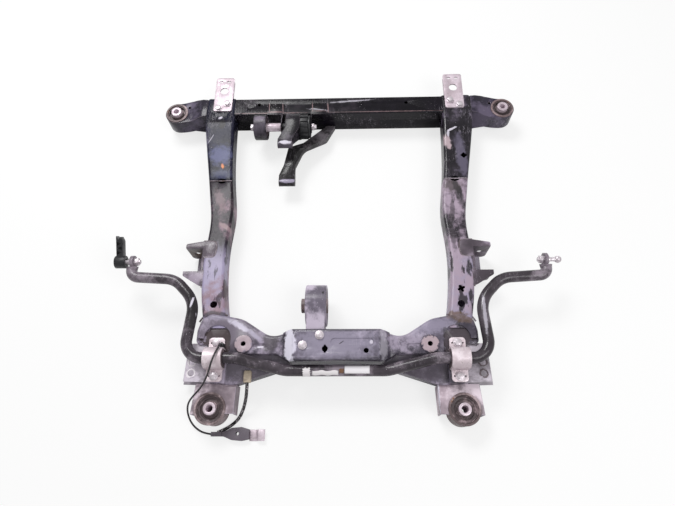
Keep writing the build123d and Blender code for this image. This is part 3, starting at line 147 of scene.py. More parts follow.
# Heights of the upper faces that carry marks, and where the rails turn paler, in metres
RAIL_TOP = 0.076
REAR_ZONE = (0.43, 0.35)
WING = 0.085
SEAT = 0.078

# Fineness of cords and beads
RUN_ROUNDNESS = 4
RUN_STEPS = 10

# The sensor's lead: the routes of part.py, in metres
LEAD_NODES = ("lead_conduit", "lead_cable")
CONDUIT_RADIUS = 0.004
CONDUIT_ROUTE = (
    (-0.210, 0.060, 0.068), (-0.211, 0.046, 0.061), (-0.214, 0.031, 0.047), (-0.219, 0.016, 0.0305),
    (-0.226, 0.001, 0.015), (-0.235, -0.016, 0.006), (-0.250, -0.031, 0.0046),
    (-0.268, -0.042, 0.0046), (-0.285, -0.049, 0.005),
)
CONDUIT_RIBS = 46
CONDUIT_SCALE = 180
CONDUIT_BAND = (0.50, 0.60)
CONDUIT_DARK = (0.030, 0.026, 0.030)
CONDUIT_PALE = (0.60, 0.55, 0.58)
CONDUIT_GROOVE = (0.010, 0.009, 0.010)
CONDUIT_GROOVE_BAND = (-0.1, -0.9)
CONDUIT_RIB_DEPTH = 0.0008
CONDUIT_GRAIN_SCALE = 300
CONDUIT_GRAIN_DEPTH = 0.0001
CONDUIT_ROUGHNESS = 0.42
CABLE_RADIUS = 0.0022
CABLE_ROUTE = (
    (-0.2705, 0.143, 0.096), (-0.271, 0.140, 0.111), (-0.273, 0.127, 0.125),
    (-0.278, 0.110, 0.1315), (-0.284, 0.093, 0.1275), (-0.291, 0.079, 0.114),
    (-0.299, 0.067, 0.099), (-0.309, 0.054, 0.084), (-0.321, 0.041, 0.072),
    (-0.335, 0.028, 0.067), (-0.347, 0.014, 0.059), (-0.353, 0.000, 0.043),
    (-0.353, -0.016, 0.025), (-0.346, -0.032, 0.0105), (-0.332, -0.044, 0.005),
    (-0.316, -0.051, 0.0042), (-0.299, -0.053, 0.005),
)

# Weld beads of the right half: key, node that carries it, radius, and points in plan
WELD_LEVEL = 0.0755
WELD_RADIUS = 0.0022
SEAM_RADIUS = 0.0016
WELDS = (
    ("lug_front", "control_arm_bracket", WELD_RADIUS, (
        (0.349, 0.421), (0.330, 0.421), (0.316, 0.419), (0.314, 0.398), (0.317, 0.377),
        (0.330, 0.375), (0.346, 0.375),
    )),
    ("lug_rear", "control_arm_bracket", WELD_RADIUS, (
        (0.346, 0.3385), (0.328, 0.3385), (0.316, 0.337), (0.314, 0.317), (0.318, 0.297),
        (0.330, 0.295), (0.345, 0.295),
    )),
    ("arc", "side_rail_rear", WELD_RADIUS, (
        (0.337, 0.203), (0.331, 0.214), (0.320, 0.222), (0.303, 0.2265), (0.286, 0.224),
        (0.268, 0.2195),
    )),
    ("seam", "side_rail_rear", SEAM_RADIUS, (
        (0.354, 0.604), (0.338, 0.6045), (0.320, 0.6035), (0.302, 0.6045), (0.292, 0.604),
    )),
)

# Straight middle of the bar, and the patches stuck round it
BAR_RADIUS = 0.0135
BAR_Y = 0.084
BAR_Z = 0.082
WRAP_STEPS = 18
WRAP_ROUNDS = 14
WRAP_SKIN = 0.0003
FRAY_WAVE = 9.0
FRINGE_WAVE = 7.0
FRINGE_TURN = 4000


def add_camera():
    """A camera at the photograph's place and angle."""
    pitch, yaw, roll = radians(CAMERA_PITCH), radians(CAMERA_YAW), radians(CAMERA_ROLL)
    ahead = Vector((sin(yaw) * cos(pitch), cos(yaw) * cos(pitch), -sin(pitch)))
    right = Vector((cos(yaw), -sin(yaw), 0))
    up = right.cross(ahead)
    turned_right = right * cos(roll) + up * sin(roll)
    turned_up = up * cos(roll) - right * sin(roll)
    data = bpy.data.cameras.new("camera")
    data.lens = CAMERA_LENS
    data.sensor_width = SENSOR_WIDTH
    data.sensor_fit = "HORIZONTAL"
    camera = bpy.data.objects.new("camera", data)
    turn = Matrix((turned_right, turned_up, -ahead)).transposed()
    camera.matrix_world = Matrix.Translation(CAMERA_AT) @ turn.to_4x4()
    bpy.context.collection.objects.link(camera)
    bpy.context.scene.camera = camera


def add_lamp(name, at, size, power):
    """A soft rectangular lamp that faces the object."""
    data = bpy.data.lights.new(name, "AREA")
    data.shape = "RECTANGLE"
    data.size, data.size_y = size
    data.energy = power
    lamp = bpy.data.objects.new(name, data)
    lamp.location = at
    lamp.rotation_euler = (Vector(LAMP_TARGET) - Vector(at)).to_track_quat("-Z", "Y").to_euler()
    bpy.context.collection.objects.link(lamp)


def add_light():
    """Plain white world and soft lamps."""
    bpy.context.scene.view_settings.view_transform = "Standard"
    world = bpy.data.worlds.new("world")
    bpy.context.scene.world = world
    world.use_nodes = True
    background = world.node_tree.nodes["Background"]
    background.inputs["Color"].default_value = (1, 1, 1, 1)
    background.inputs["Strength"].default_value = WORLD_LEVEL
    for name, at, size, power in LAMPS:
        add_lamp(name, at, size, power)


def add_floor():
    """White floor that keeps a soft shadow."""
    mesh = bpy.data.meshes.new("floor")
    signs = ((-1, -1), (1, -1), (1, 1), (-1, 1))
    corners = [(x * FLOOR_HALF, y * FLOOR_HALF, FLOOR_LEVEL) for x, y in signs]
    mesh.from_pydata(corners, [], [(0, 1, 2, 3)])
    floor = bpy.data.objects.new("floor", mesh)
    bpy.context.collection.objects.link(floor)
    material = bpy.data.materials.new("floor")
    material.use_nodes = True
    tree = material.node_tree
    shader = tree.nodes["Principled BSDF"]
    shader.inputs["Base Color"].default_value = (FLOOR_GREY, FLOOR_GREY, FLOOR_GREY, 1)
    shader.inputs["Roughness"].default_value = FLOOR_ROUGHNESS
    shader.inputs["Specular IOR Level"].default_value = 0.0
    glow = tree.nodes.new("ShaderNodeEmission")
    rays = tree.nodes.new("ShaderNodeLightPath")
    seen = tree.nodes.new("ShaderNodeMath")
    seen.operation = "MULTIPLY"
    seen.inputs[1].default_value = FLOOR_GLOW
    blend = tree.nodes.new("ShaderNodeMixShader")
    tree.links.new(rays.outputs["Is Camera Ray"], seen.inputs[0])
    tree.links.new(seen.outputs[0], blend.inputs[0])
    tree.links.new(shader.outputs[0], blend.inputs[1])
    tree.links.new(glow.outputs[0], blend.inputs[2])
    tree.links.new(blend.outputs[0], tree.nodes["Material Output"].inputs["Surface"])
    mesh.materials.append(material)


class Finish:
    """A node material laid up in layers, in the piece's own metres."""

    def __init__(self, name):
        self.material = bpy.data.materials.new(name)
        self.material.use_nodes = True
        self.tree = self.material.node_tree
        self.shader = self.tree.nodes["Principled BSDF"]
        self.place = self.tree.nodes.new("ShaderNodeTexCoord").outputs["Object"]

    def put(self, socket, value):
        if isinstance(value, bpy.types.NodeSocket):
            self.tree.links.new(value, socket)
        elif isinstance(value, tuple) and socket.type == "RGBA":
            socket.default_value = (*value, 1.0)
        else:
            socket.default_value = value

    def math(self, kind, first, second=0.0):
        made = self.tree.nodes.new("ShaderNodeMath")
        made.operation = kind
        self.put(made.inputs[0], first)
        self.put(made.inputs[1], second)
        return made.outputs[0]

    def warp(self, scale, shift, turn=0.0):
        """The place, shifted, turned about Z and stretched."""
        made = self.tree.nodes.new("ShaderNodeMapping")
        made.vector_type = "POINT"
        self.put(made.inputs["Vector"], self.place)
        self.put(made.inputs["Location"], shift)
        self.put(made.inputs["Rotation"], (0, 0, turn))
        self.put(made.inputs["Scale"], scale)
        return made.outputs[0]

    def noise(self, scale, detail=5.0, rough=0.6, stretch=(1, 1, 1), shift=(0, 0, 0), turn=0.0):
        made = self.tree.nodes.new("ShaderNodeTexNoise")
        self.put(made.inputs["Vector"], self.warp(stretch, shift, turn))
        self.put(made.inputs["Scale"], scale)
        self.put(made.inputs["Detail"], detail)
        self.put(made.inputs["Roughness"], rough)
        return made.outputs[0]

    def cells(self, scale, shift):
        made = self.tree.nodes.new("ShaderNodeTexVoronoi")
        self.put(made.inputs["Vector"], self.warp((1, 1, 1), shift))
        self.put(made.inputs["Scale"], scale)
        return made.outputs["Distance"]

    def ramp(self, value, low, high, bottom=0.0, top=1.0):
        """A smooth step: bottom below low, top above high. low may be the larger."""
        made = self.tree.nodes.new("ShaderNodeMapRange")
        made.interpolation_type = "SMOOTHSTEP"
        self.put(made.inputs["Value"], value)
        if low > high:
            low, high, bottom, top = high, low, top, bottom
        self.put(made.inputs["From Min"], low)
        self.put(made.inputs["From Max"], high)
        self.put(made.inputs["To Min"], bottom)
        self.put(made.inputs["To Max"], top)
        return made.outputs[0]

    def mix(self, factor, first, second):
        made = self.tree.nodes.new("ShaderNodeMix")
        made.data_type = "RGBA"
        self.put(made.inputs[0], factor)
        self.put(made.inputs[MIX_FIRST], first)
        self.put(made.inputs[MIX_SECOND], second)
        return made.outputs[MIX_RESULT]

    def axis(self, name):
        made = self.tree.nodes.new("ShaderNodeSeparateXYZ")
        self.put(made.inputs[0], self.place)
        return made.outputs[name]

    def spot(self, centre, radii, turn, soft):
        """1 inside a ragged ellipsoid, falling to 0 at its edge. turn is in degrees about Z."""
        moved = self.tree.nodes.new("ShaderNodeVectorMath")
        moved.operation = "SUBTRACT"
        self.put(moved.inputs[0], self.place)
        self.put(moved.inputs[1], centre)
        spun = self.tree.nodes.new("ShaderNodeVectorRotate")
        spun.rotation_type = "Z_AXIS"
        self.put(spun.inputs["Vector"], moved.outputs[0])
        self.put(spun.inputs["Angle"], -radians(turn))
        shrunk = self.tree.nodes.new("ShaderNodeVectorMath")
        shrunk.operation = "DIVIDE"
        self.put(shrunk.inputs[0], spun.outputs[0])
        self.put(shrunk.inputs[1], radii)
        size = self.tree.nodes.new("ShaderNodeVectorMath")
        size.operation = "LENGTH"
        self.put(size.inputs[0], shrunk.outputs[0])
        fray = self.ramp(self.noise(RAGGED_SCALE), *RAGGED_BAND, -MARK_RAGGED, MARK_RAGGED)
        reach = self.math("ADD", size.outputs["Value"], fray)
        return self.ramp(reach, 1.0 + soft / 2, 1.0 - soft / 2)

    def bump(self, *layers):
        """Surface relief from pairs of height and depth in metres."""
        normal = None
        for height, depth in layers:
            made = self.tree.nodes.new("ShaderNodeBump")
            self.put(made.inputs["Height"], height)
            self.put(made.inputs["Distance"], depth)
            if normal:
                self.put(made.inputs["Normal"], normal)
            normal = made.outputs[0]
        self.put(self.shader.inputs["Normal"], normal)

    def done(self, colour, rough, metallic=0.0, specular=0.5):
        self.put(self.shader.inputs["Base Color"], colour)
        self.put(self.shader.inputs["Roughness"], rough)
        self.put(self.shader.inputs["Metallic"], metallic)
        self.put(self.shader.inputs["Specular IOR Level"], specular)
        return self.material


def shade(colour, share):
    """A colour darkened to a share of itself."""
    return tuple(share * part for part in colour)


def worn_paint(
    name, base, dust, dusty, gloss, seed, streaks=0.0, scratches=0.3, specks=0.3, rust=0.0,
    marks=(), zone=None, shine=0.4,
):
    """Painted steel: clouds, dust, drag marks, scratches, specks, rust, and placed marks of dirt,
    stains, painted highlights and painted sheen.

    zone is an axis, two places on it and the tint beyond the second. Each mark has its centre,
    radii, turn in degrees, tint, weight and softness."""
    look = Finish(name)
    shift = (seed, seed * 1.7, seed * 0.6)
    mottle = look.ramp(look.noise(MOTTLE_SCALE, shift=shift), *MOTTLE_BAND)
    colour = look.mix(mottle, shade(base, MOTTLE_SHADE), base)
    if zone:
        axis, low, high, tint = zone
        colour = look.mix(look.ramp(look.axis(axis), low, high), colour, tint)
    cloud = look.noise(CLOUD_SCALE, detail=8, rough=0.68, shift=shift)
    film = look.ramp(cloud, *(edge - FILM_SHIFT * dusty for edge in FILM_BAND))
    colour = look.mix(look.math("MULTIPLY", film, min(1.0, FILM_LEAST + dusty)), colour, dust)
    if streaks:
        drag = look.noise(DRAG_SCALE, stretch=DRAG_STRETCH, shift=shift, turn=DRAG_TURN)
        drag = look.ramp(drag, *DRAG_BAND)
        colour = look.mix(look.math("MULTIPLY", drag, streaks), colour, shade(base, DRAG_SHADE))
    if scratches:
        fine = look.noise(
            SCRATCH_SCALE, detail=6, rough=0.55, stretch=SCRATCH_STRETCH, shift=shift,
            turn=SCRATCH_TURN,
        )
        off_middle = look.math("ABSOLUTE", look.math("SUBTRACT", fine, 0.5))
        line = look.ramp(off_middle, *SCRATCH_BAND)
        patch = look.noise(SCRATCH_PATCH_SCALE, detail=2, shift=shift)
        patch = look.ramp(patch, *SCRATCH_PATCH_BAND)
        line = look.math("MULTIPLY", line, patch)
        colour = look.mix(look.math("MULTIPLY", line, scratches), colour, SCRATCH_TINT)
    if specks:
        grain = look.ramp(look.cells(SPECK_SCALE, shift), *SPECK_BAND)
        thin = look.noise(SPECK_PATCH_SCALE, detail=3, shift=shift)
        thin = look.ramp(thin, *SPECK_PATCH_BAND)
        dots = look.math("MULTIPLY", grain, look.math("MULTIPLY", thin, specks))
        colour = look.mix(dots, colour, SPECK_TINT)
    rough = look.ramp(cloud, *GLOSS_BAND, gloss, gloss + GLOSS_RANGE)
    if rust:
        band = (edge - RUST_SHIFT * rust for edge in RUST_BAND)
        eaten = look.ramp(look.noise(RUST_SCALE, detail=6, rough=0.7, shift=shift), *band)
        tone = look.mix(look.noise(RUST_GRAIN_SCALE, detail=4), RUST_DARK, RUST_PALE)
        colour = look.mix(eaten, colour, tone)
        rough = look.math("MAXIMUM", rough, look.math("MULTIPLY", eaten, RUST_ROUGHNESS))
    for centre, radii, turn, tint, weight, soft in marks:
        cover = look.spot(centre, radii, turn, soft)
        colour = look.mix(look.math("MULTIPLY", cover, weight), colour, tint)
    waves = look.noise(PAINT_WAVE_SCALE, detail=4, shift=shift)
    pores = look.noise(PAINT_GRAIN_SCALE, detail=3, shift=shift)
    look.bump((waves, PAINT_WAVE_DEPTH), (pores, PAINT_GRAIN_DEPTH))
    return look.done(colour, rough, specular=shine)


def bare_metal(name, base, dark, rough, metallic, stain, seed):
    """Plated or cast bare metal with dull patches and stains."""
    look = Finish(name)
    shift = (seed, seed * 1.3, seed * 0.7)
    cloud = look.noise(METAL_SCALE, detail=6, rough=0.65, shift=shift)
    colour = look.mix(look.ramp(cloud, *METAL_BAND), dark, base)
    spots = look.ramp(look.noise(STAIN_SCALE, rough=0.7, shift=shift), *STAIN_BAND)
    colour = look.mix(look.math("MULTIPLY", spots, stain), colour, STAIN_TINT)
    pores = look.noise(METAL_GRAIN_SCALE, detail=3)
    look.bump((pores, METAL_GRAIN_DEPTH), (cloud, METAL_WAVE_DEPTH))
    dulled = look.ramp(cloud, *METAL_ROUGH_BAND, rough + METAL_ROUGH_RANGE, rough)
    return look.done(colour, dulled, metallic)


def dusty_matt(name, base, dust, dusty, rough, seed, grain=300):
    """Rubber, moulded plastic or paper with settled dust."""
    look = Finish(name)
    cloud = look.noise(DUST_SCALE, detail=6, rough=0.65, shift=(seed, seed, seed))
    band = (edge - DUST_SHIFT * dusty for edge in DUST_BAND)
    colour = look.mix(look.ramp(cloud, *band), base, dust)
    look.bump((look.noise(grain, detail=4), SOFT_GRAIN_DEPTH))
    dulled = look.ramp(cloud, *DUST_ROUGH_BAND, rough, min(1.0, rough + GLOSS_RANGE))
    return look.done(colour, dulled)


def dress(node, material, edge, bevel):
    """Stand a copy with rounded edges in for a rigid CAD node, on the node's own body."""
    made = bmesh.new()
    made.from_mesh(frame["nodes"][node].data)
    bmesh.ops.remove_doubles(made, verts=made.verts, dist=MERGE_REACH)
    bmesh.ops.dissolve_limit(
        made, angle_limit=radians(FLAT_ANGLE), verts=made.verts, edges=made.edges,
        delimit={"NORMAL"},
    )
    edges = [
        e for e in made.edges
        if len(e.link_faces) == 2 and degrees(e.calc_face_angle(0.0)) > BEVEL_ANGLE
    ]
    # The bevel faces take the edge finish when one is given: rubbed edges with a painted highlight
    bmesh.ops.bevel(
        made, geom=edges, offset=bevel, offset_type="OFFSET", segments=BEVEL_SEGMENTS,
        profile=0.5, affect="EDGES", clamp_overlap=True, material=1 if edge else -1,
    )
    bmesh.ops.triangulate(made, faces=[f for f in made.faces if len(f.verts) > 4])
    mesh = bpy.data.meshes.new(f"{node}_dressed")
    made.to_mesh(mesh)
    made.free()
    for polygon in mesh.polygons:
        polygon.use_smooth = True
    mesh.set_sharp_from_angle(angle=radians(SMOOTH_ANGLE))
    mesh.materials.append(material)
    if edge:
        mesh.materials.append(edge)
    piece = bpy.data.objects.new(f"{node}_dressed", mesh)
    bpy.context.collection.objects.link(piece)
    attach(piece, BODY_OF[node])
    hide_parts(node)
    return piece


BEAM = worn_paint(
    "beam_paint", (0.008, 0.006, 0.011), dust=(0.036, 0.026, 0.036), dusty=0.25, gloss=0.26,
    scratches=0.6, specks=0.7, seed=1.3, shine=0.22,
    marks=(
        ((-0.335, 0.829, 0.082), (0.024, 0.004, 0.010), 0, PINK, 0.7, 0.5),
        ((0.335, 0.829, 0.082), (0.024, 0.004, 0.010), 0, PINK, 0.6, 0.5),
        ((0.040, 0.868, 0.080), (0.060, 0.003, 0.010), 4, PALE, 0.45, 0.6),
        ((-0.060, 0.838, 0.080), (0.030, 0.002, 0.010), -8, PALE, 0.4, 0.6),
        *(
            ((x, 0.846, 0.080), (0.0014, 0.018, 0.010), 3, FOOTPRINT, 0.75, 0.7)
            for x in (-0.201, -0.161, -0.074, -0.029)
        ),
        *(
            ((x, 0.832, 0.080), (0.020, 0.0014, 0.010), 0, FOOTPRINT, 0.7, 0.7)
            for x in (-0.181, -0.052)
        ),
        ((-0.200, 0.829, 0.080), (0.100, 0.0016, 0.010), 0, FOOTPRINT, 0.6, 0.9),
        ((0.140, 0.829, 0.080), (0.160, 0.0014, 0.010), 0, FOOTPRINT, 0.5, 0.9),
    ),
)
RAIL_FRONT_LEFT = worn_paint(
    "rail_front_left_paint", (0.024, 0.024, 0.046), dust=(0.085, 0.085, 0.15), dusty=0.45,
    gloss=0.22, streaks=0.35, scratches=0.7, specks=0.8, seed=2.1, shine=0.12,
    marks=(
        ((-0.323, 0.653, RAIL_TOP), (0.004, 0.009, 0.01), 20, CHALK, 0.9, 0.5),
        # Painted sheen: a soft bluish reflection on the rail's top, laid on as colour
        ((-0.332, 0.690, 0.078), (0.030, 0.030, 0.03), 10, (0.13, 0.14, 0.28), 0.7, 1.0),
        ((-0.322, 0.626, 0.078), (0.028, 0.014, 0.03), 0, (0.11, 0.12, 0.22), 0.5, 1.0),
        ((-0.380, 0.700, 0.070), (0.008, 0.060, 0.02), 0, (0.30, 0.28, 0.38), 0.5, 0.8),
        ((-0.364, 0.745, 0.080), (0.0012, 0.016, 0.02), -28, PALE, 0.5, 0.6),
        ((-0.343, 0.813, 0.083), (0.006, 0.004, 0.006), 30, PALE, 0.75, 0.4),
        ((-0.335, 0.790, 0.083), (0.009, 0.014, 0.006), -12, SOOT, 0.9, 0.3),
        ((-0.341, 0.801, 0.083), (0.026, 0.008, 0.006), 0, SOOT, 0.6, 0.5),
    ),
)
RAIL_FRONT_RIGHT = worn_paint(
    "rail_front_right_paint", (0.024, 0.020, 0.028), dust=(0.17, 0.14, 0.20), dusty=0.36,
    gloss=0.16, streaks=0.4, scratches=0.7, specks=0.8, seed=2.9,
    marks=(
        ((0.309, 0.725, RAIL_TOP), (0.010, 0.022, 0.02), 8, PINK, 0.8, 0.5),
        ((0.322, 0.764, 0.081), (0.017, 0.003, 0.01), 25, PALE, 0.8, 0.5),
        ((0.313, 0.750, 0.080), (0.004, 0.010, 0.01), 0, PALE, 0.7, 0.4),
        # Painted sheen along the rail's top
        ((0.345, 0.680, RAIL_TOP), (0.014, 0.070, 0.02), 4, (0.17, 0.15, 0.22), 0.6, 0.8),
    ),
)
RAIL_REAR_LEFT = worn_paint(
    "rail_rear_left_paint", (0.042, 0.032, 0.044), dust=(0.30, 0.205, 0.25), dusty=0.68,
    gloss=0.28, streaks=0.7, scratches=0.4, specks=0.5, seed=3.4, shine=0.2,
    zone=("Y", *REAR_ZONE, (0.36, 0.32, 0.46)),
    marks=(
        ((-0.352, 0.270, 0.078), (0.010, 0.030, 0.01), 20, SOOT, 0.7, 0.5),
        ((-0.300, 0.218, 0.078), (0.040, 0.010, 0.02), 0, SOOT, 0.75, 0.6),
        ((-0.343, 0.450, 0.076), (0.004, 0.060, 0.02), 0, PALE, 0.5, 0.7),
        ((-0.318, 0.540, RAIL_TOP), (0.012, 0.034, 0.02), 18, (0.20, 0.135, 0.155), 0.75, 0.9),
        ((-0.296, 0.462, RAIL_TOP), (0.020, 0.006, 0.02), -35, (0.34, 0.24, 0.26), 0.8, 0.6),
        ((-0.330, 0.490, RAIL_TOP), (0.007, 0.045, 0.02), -10, (0.030, 0.024, 0.032), 0.85, 0.5),
        ((-0.312, 0.440, RAIL_TOP), (0.004, 0.040, 0.02), 14, (0.030, 0.024, 0.032), 0.8, 0.5),
        ((-0.325, 0.400, RAIL_TOP), (0.022, 0.008, 0.02), 60, (0.24, 0.20, 0.27), 0.7, 0.6),
    ),
)
RAIL_REAR_RIGHT = worn_paint(
    "rail_rear_right_paint", (0.050, 0.040, 0.055), dust=(0.38, 0.30, 0.38), dusty=0.75,
    gloss=0.26, streaks=0.9, scratches=0.5, specks=0.5, seed=6.4,
    zone=("Y", *REAR_ZONE, (0.33, 0.29, 0.40)),
    marks=(
        ((0.289, 0.212, 0.078), (0.030, 0.014, 0.02), 0, BROWN, 0.8, 0.6),
        ((0.312, 0.585, RAIL_TOP), (0.024, 0.022, 0.02), -20, (0.085, 0.068, 0.072), 0.85, 0.7),
        ((0.300, 0.430, RAIL_TOP), (0.006, 0.045, 0.02), 6, SOOT, 0.6, 0.7),
        ((0.326, 0.560, RAIL_TOP), (0.010, 0.045, 0.02), 12, SOOT, 0.7, 0.5),
        ((0.304, 0.500, RAIL_TOP), (0.007, 0.040, 0.02), -8, SOOT, 0.6, 0.6),
    ),
)
CROSS = worn_paint(
    "crossmember_paint", (0.11, 0.095, 0.13), dust=(0.36, 0.31, 0.40), dusty=0.62, gloss=0.20,
    scratches=0.6, specks=0.6, rust=0.1, seed=4.2,
    marks=(
        ((-0.262, 0.172, WING), (0.075, 0.045, 0.012), 0, (0.12, 0.10, 0.13), 0.8, 0.7),
        ((0.287, 0.150, SEAT), (0.036, 0.050, 0.005), 0, (0.070, 0.055, 0.065), 0.9, 0.1),
        ((-0.287, 0.150, SEAT), (0.036, 0.050, 0.005), 0, (0.060, 0.042, 0.042), 0.9, 0.1),
        ((-0.190, 0.095, 0.063), (0.100, 0.040, 0.012), 0, (0.15, 0.13, 0.16), 0.75, 0.2),
        ((0.190, 0.095, 0.063), (0.100, 0.040, 0.012), 0, (0.12, 0.10, 0.13), 0.75, 0.2),
        # Painted highlights and sheen on the left wing
        ((-0.235, 0.191, WING), (0.030, 0.007, 0.012), -28, (0.60, 0.56, 0.68), 0.9, 0.9),
        ((-0.283, 0.212, WING), (0.034, 0.006, 0.012), 0, (0.24, 0.21, 0.29), 0.7, 0.9),
        ((-0.196, 0.166, WING), (0.024, 0.005, 0.012), -38, (0.42, 0.38, 0.50), 0.7, 0.9),
        # Painted highlight on the platform's left slope
        ((-0.108, 0.140, 0.106), (0.017, 0.046, 0.022), 0, (0.86, 0.83, 0.95), 1.0, 0.4),
        ((0.000, 0.140, 0.119), (0.110, 0.045, 0.006), 0, (0.44, 0.40, 0.52), 0.55, 1.2),
        ((0.230, 0.192, WING), (0.060, 0.020, 0.012), 8, (0.40, 0.36, 0.48), 0.6, 1.0),
        ((0.000, 0.172, 0.117), (0.100, 0.005, 0.006), 0, (0.05, 0.045, 0.055), 0.7, 0.8),
        # Painted highlight, weaker, on the platform's right slope
        ((0.110, 0.140, 0.104), (0.012, 0.036, 0.016), 0, PALE, 0.40, 0.7),
        ((-0.155, 0.155, WING), (0.018, 0.034, 0.008), -20, (0.075, 0.065, 0.075), 0.75, 0.6),
        ((-0.181, 0.139, WING), (0.009, 0.0025, 0.004), 0, PALE, 0.9, 0.3),
        ((-0.222, 0.146, 0.0905), (0.022, 0.022, 0.0035), 0, PINK, 0.65, 0.2),
        ((0.222, 0.146, 0.0905), (0.022, 0.022, 0.0035), 0, PINK, 0.75, 0.2),
        ((0.227, 0.127, WING), (0.015, 0.004, 0.004), -6, SOOT, 0.85, 0.4),
        ((0.289, 0.189, WING), (0.005, 0.019, 0.004), -30, SOOT, 0.75, 0.5),
        ((0.260, 0.179, WING), (0.006, 0.007, 0.004), 0, SOOT, 0.6, 0.6),
        ((0.300, 0.208, 0.084), (0.030, 0.010, 0.008), -10, BROWN, 0.6, 0.7),
        ((0.083, 0.143, 0.119), (0.004, 0.004, 0.003), 0, PALE, 0.7, 0.5),
        ((0.012, 0.141, 0.120), (0.010, 0.0015, 0.003), 35, SOOT, 0.8, 0.4),
    ),
)
EAR = worn_paint(
    "ear_paint", (0.040, 0.033, 0.056), dust=(0.115, 0.095, 0.145), dusty=0.5, gloss=0.22,
    scratches=0.5, specks=0.5, seed=5.5, shine=0.3,
)
POCKET = worn_paint(
    "pocket_paint", (0.46, 0.41, 0.47), dust=(0.66, 0.60, 0.68), dusty=0.7, gloss=0.34,
    specks=0.8, rust=0.30, seed=6.1,
    marks=tuple(
        ((side * 0.3445, y, 0.0745), (0.0112, 0.0112, 0.003), 0, tint, 0.95, 0.06)
        for side, tint in ((-1, (0.85, 0.80, 0.84)), (1, (0.12, 0.09, 0.10)))
        for y in (0.105, 0.079)
    ),
)
ARM = worn_paint(
    "arm_paint", (0.50, 0.40, 0.46), dust=(0.78, 0.67, 0.74), dusty=0.75, gloss=0.30, rust=0.15,
    # The arm's mark is a painted highlight along its flange
    seed=7.7, marks=(((0.238, 0.030, 0.054), (0.003, 0.040, 0.01), 0, PALE, 0.9, 0.5),),
)
BAR = worn_paint(
    "bar_paint", (0.085, 0.070, 0.085), dust=(0.26, 0.22, 0.26), dusty=0.55, gloss=0.18,
    scratches=0.5, specks=0.7, seed=8.8, shine=0.32,
    marks=(
        ((-0.345, 0.230, 0.100), (0.022, 0.055, 0.03), 0, (0.020, 0.018, 0.020), 0.9, 0.7),
        ((-0.368, 0.280, 0.100), (0.018, 0.020, 0.03), 0, (0.035, 0.030, 0.033), 0.7, 0.7),
        # Painted highlights along the bar's arms
        ((-0.351, 0.245, 0.110), (0.003, 0.018, 0.01), -10, PALE, 0.9, 0.5),
        ((-0.337, 0.208, 0.111), (0.003, 0.012, 0.01), 10, PALE, 0.9, 0.5),
        ((0.352, 0.215, 0.110), (0.004, 0.050, 0.01), 0, PALE, 0.5, 0.7),
    ),
)
SHELL = worn_paint(
    "bush_shell_paint", (0.24, 0.17, 0.175), dust=(0.46, 0.36, 0.38), dusty=0.6, gloss=0.36,
    rust=0.6, seed=9.1,
)
CASTING = worn_paint(
    "casting_paint", (0.026, 0.022, 0.030), dust=(0.10, 0.085, 0.11), dusty=0.5, gloss=0.24,
    scratches=0.3, seed=10.2, shine=0.25,
    marks=(
        # Painted highlights on the two eyes of the arm and on the top of the ring
        ((-0.147, 0.708, 0.107), (0.016, 0.006, 0.004), 0, PALE, 0.85, 0.6),
        ((-0.142, 0.611, 0.061), (0.020, 0.005, 0.004), 0, PALE, 0.7, 0.6),
        ((-0.222, 0.790, 0.106), (0.014, 0.010, 0.006), 0, (0.26, 0.22, 0.28), 0.7, 0.8),
    ),
)
REAR_CASTING = worn_paint(
    "rear_casting_paint", (0.30, 0.26, 0.34), dust=(0.56, 0.49, 0.60), dusty=0.7, gloss=0.28,
    scratches=0.3, specks=0.6, seed=12.6,
    marks=(((-0.032, 0.267, 0.110), (0.003, 0.004, 0.006), 0, SOOT, 0.9, 0.2),),
)
STAY = worn_paint(
    "stay_paint", (0.030, 0.028, 0.030), dust=(0.13, 0.115, 0.13), dusty=0.5, gloss=0.18,
    scratches=0.3, seed=11.3, shine=0.3,
    # The stay's mark is a painted highlight on the lower eye
    marks=(((-0.141, 0.611, 0.061), (0.022, 0.006, 0.006), 0, (0.42, 0.38, 0.50), 0.8, 0.6),),
)
LUG = worn_paint(
    "lug_paint", (0.15, 0.12, 0.15), dust=(0.36, 0.30, 0.38), dusty=0.65, gloss=0.28, rust=0.12,
    seed=13.1, scratches=0.4, specks=0.6,
    marks=(
        ((-0.372, 0.334, 0.040), (0.040, 0.006, 0.028), 0, (0.075, 0.040, 0.022), 0.9, 0.5),
        ((-0.372, 0.402, 0.040), (0.040, 0.006, 0.028), 0, (0.075, 0.040, 0.022), 0.8, 0.5),
        ((0.372, 0.368, 0.007), (0.030, 0.040, 0.004), 0, (0.55, 0.50, 0.60), 0.6, 0.5),
        ((-0.372, 0.368, 0.007), (0.030, 0.040, 0.004), 0, (0.55, 0.50, 0.60), 0.6, 0.5),
    ),
)

# Base and dark colours, roughness, metallic share, share of stains
ALLOY = bare_metal("clamp_alloy", (0.90, 0.80, 0.85), (0.62, 0.52, 0.56), 0.36, 0.2, 0.4, seed=1.0)
ZINC = bare_metal("zinc_plate", (0.80, 0.69, 0.77), (0.52, 0.43, 0.48), 0.36, 0.35, 0.3, seed=2.0)
BOLTS = bare_metal("bolt_plate", (0.86, 0.80, 0.85), (0.58, 0.52, 0.56), 0.28, 0.55, 0.25, seed=3.0)
WELD = bare_metal("weld_metal", (0.40, 0.35, 0.40), (0.13, 0.10, 0.11), 0.4, 0.4, 0.5, seed=8.0)
# Lighter finishes for the bevel faces: rubbed edges with a painted highlight along them
DARK_EDGE_HIGHLIGHT = bare_metal(
    "rubbed_edge_highlight_dark", (0.42, 0.34, 0.40), (0.07, 0.055, 0.075), 0.25, 0.1, 0.3, seed=9.0
)
PALE_EDGE_HIGHLIGHT = bare_metal(
    "rubbed_edge_highlight_pale", (0.52, 0.47, 0.58), (0.18, 0.15, 0.19), 0.25, 0.1, 0.3, seed=9.5
)

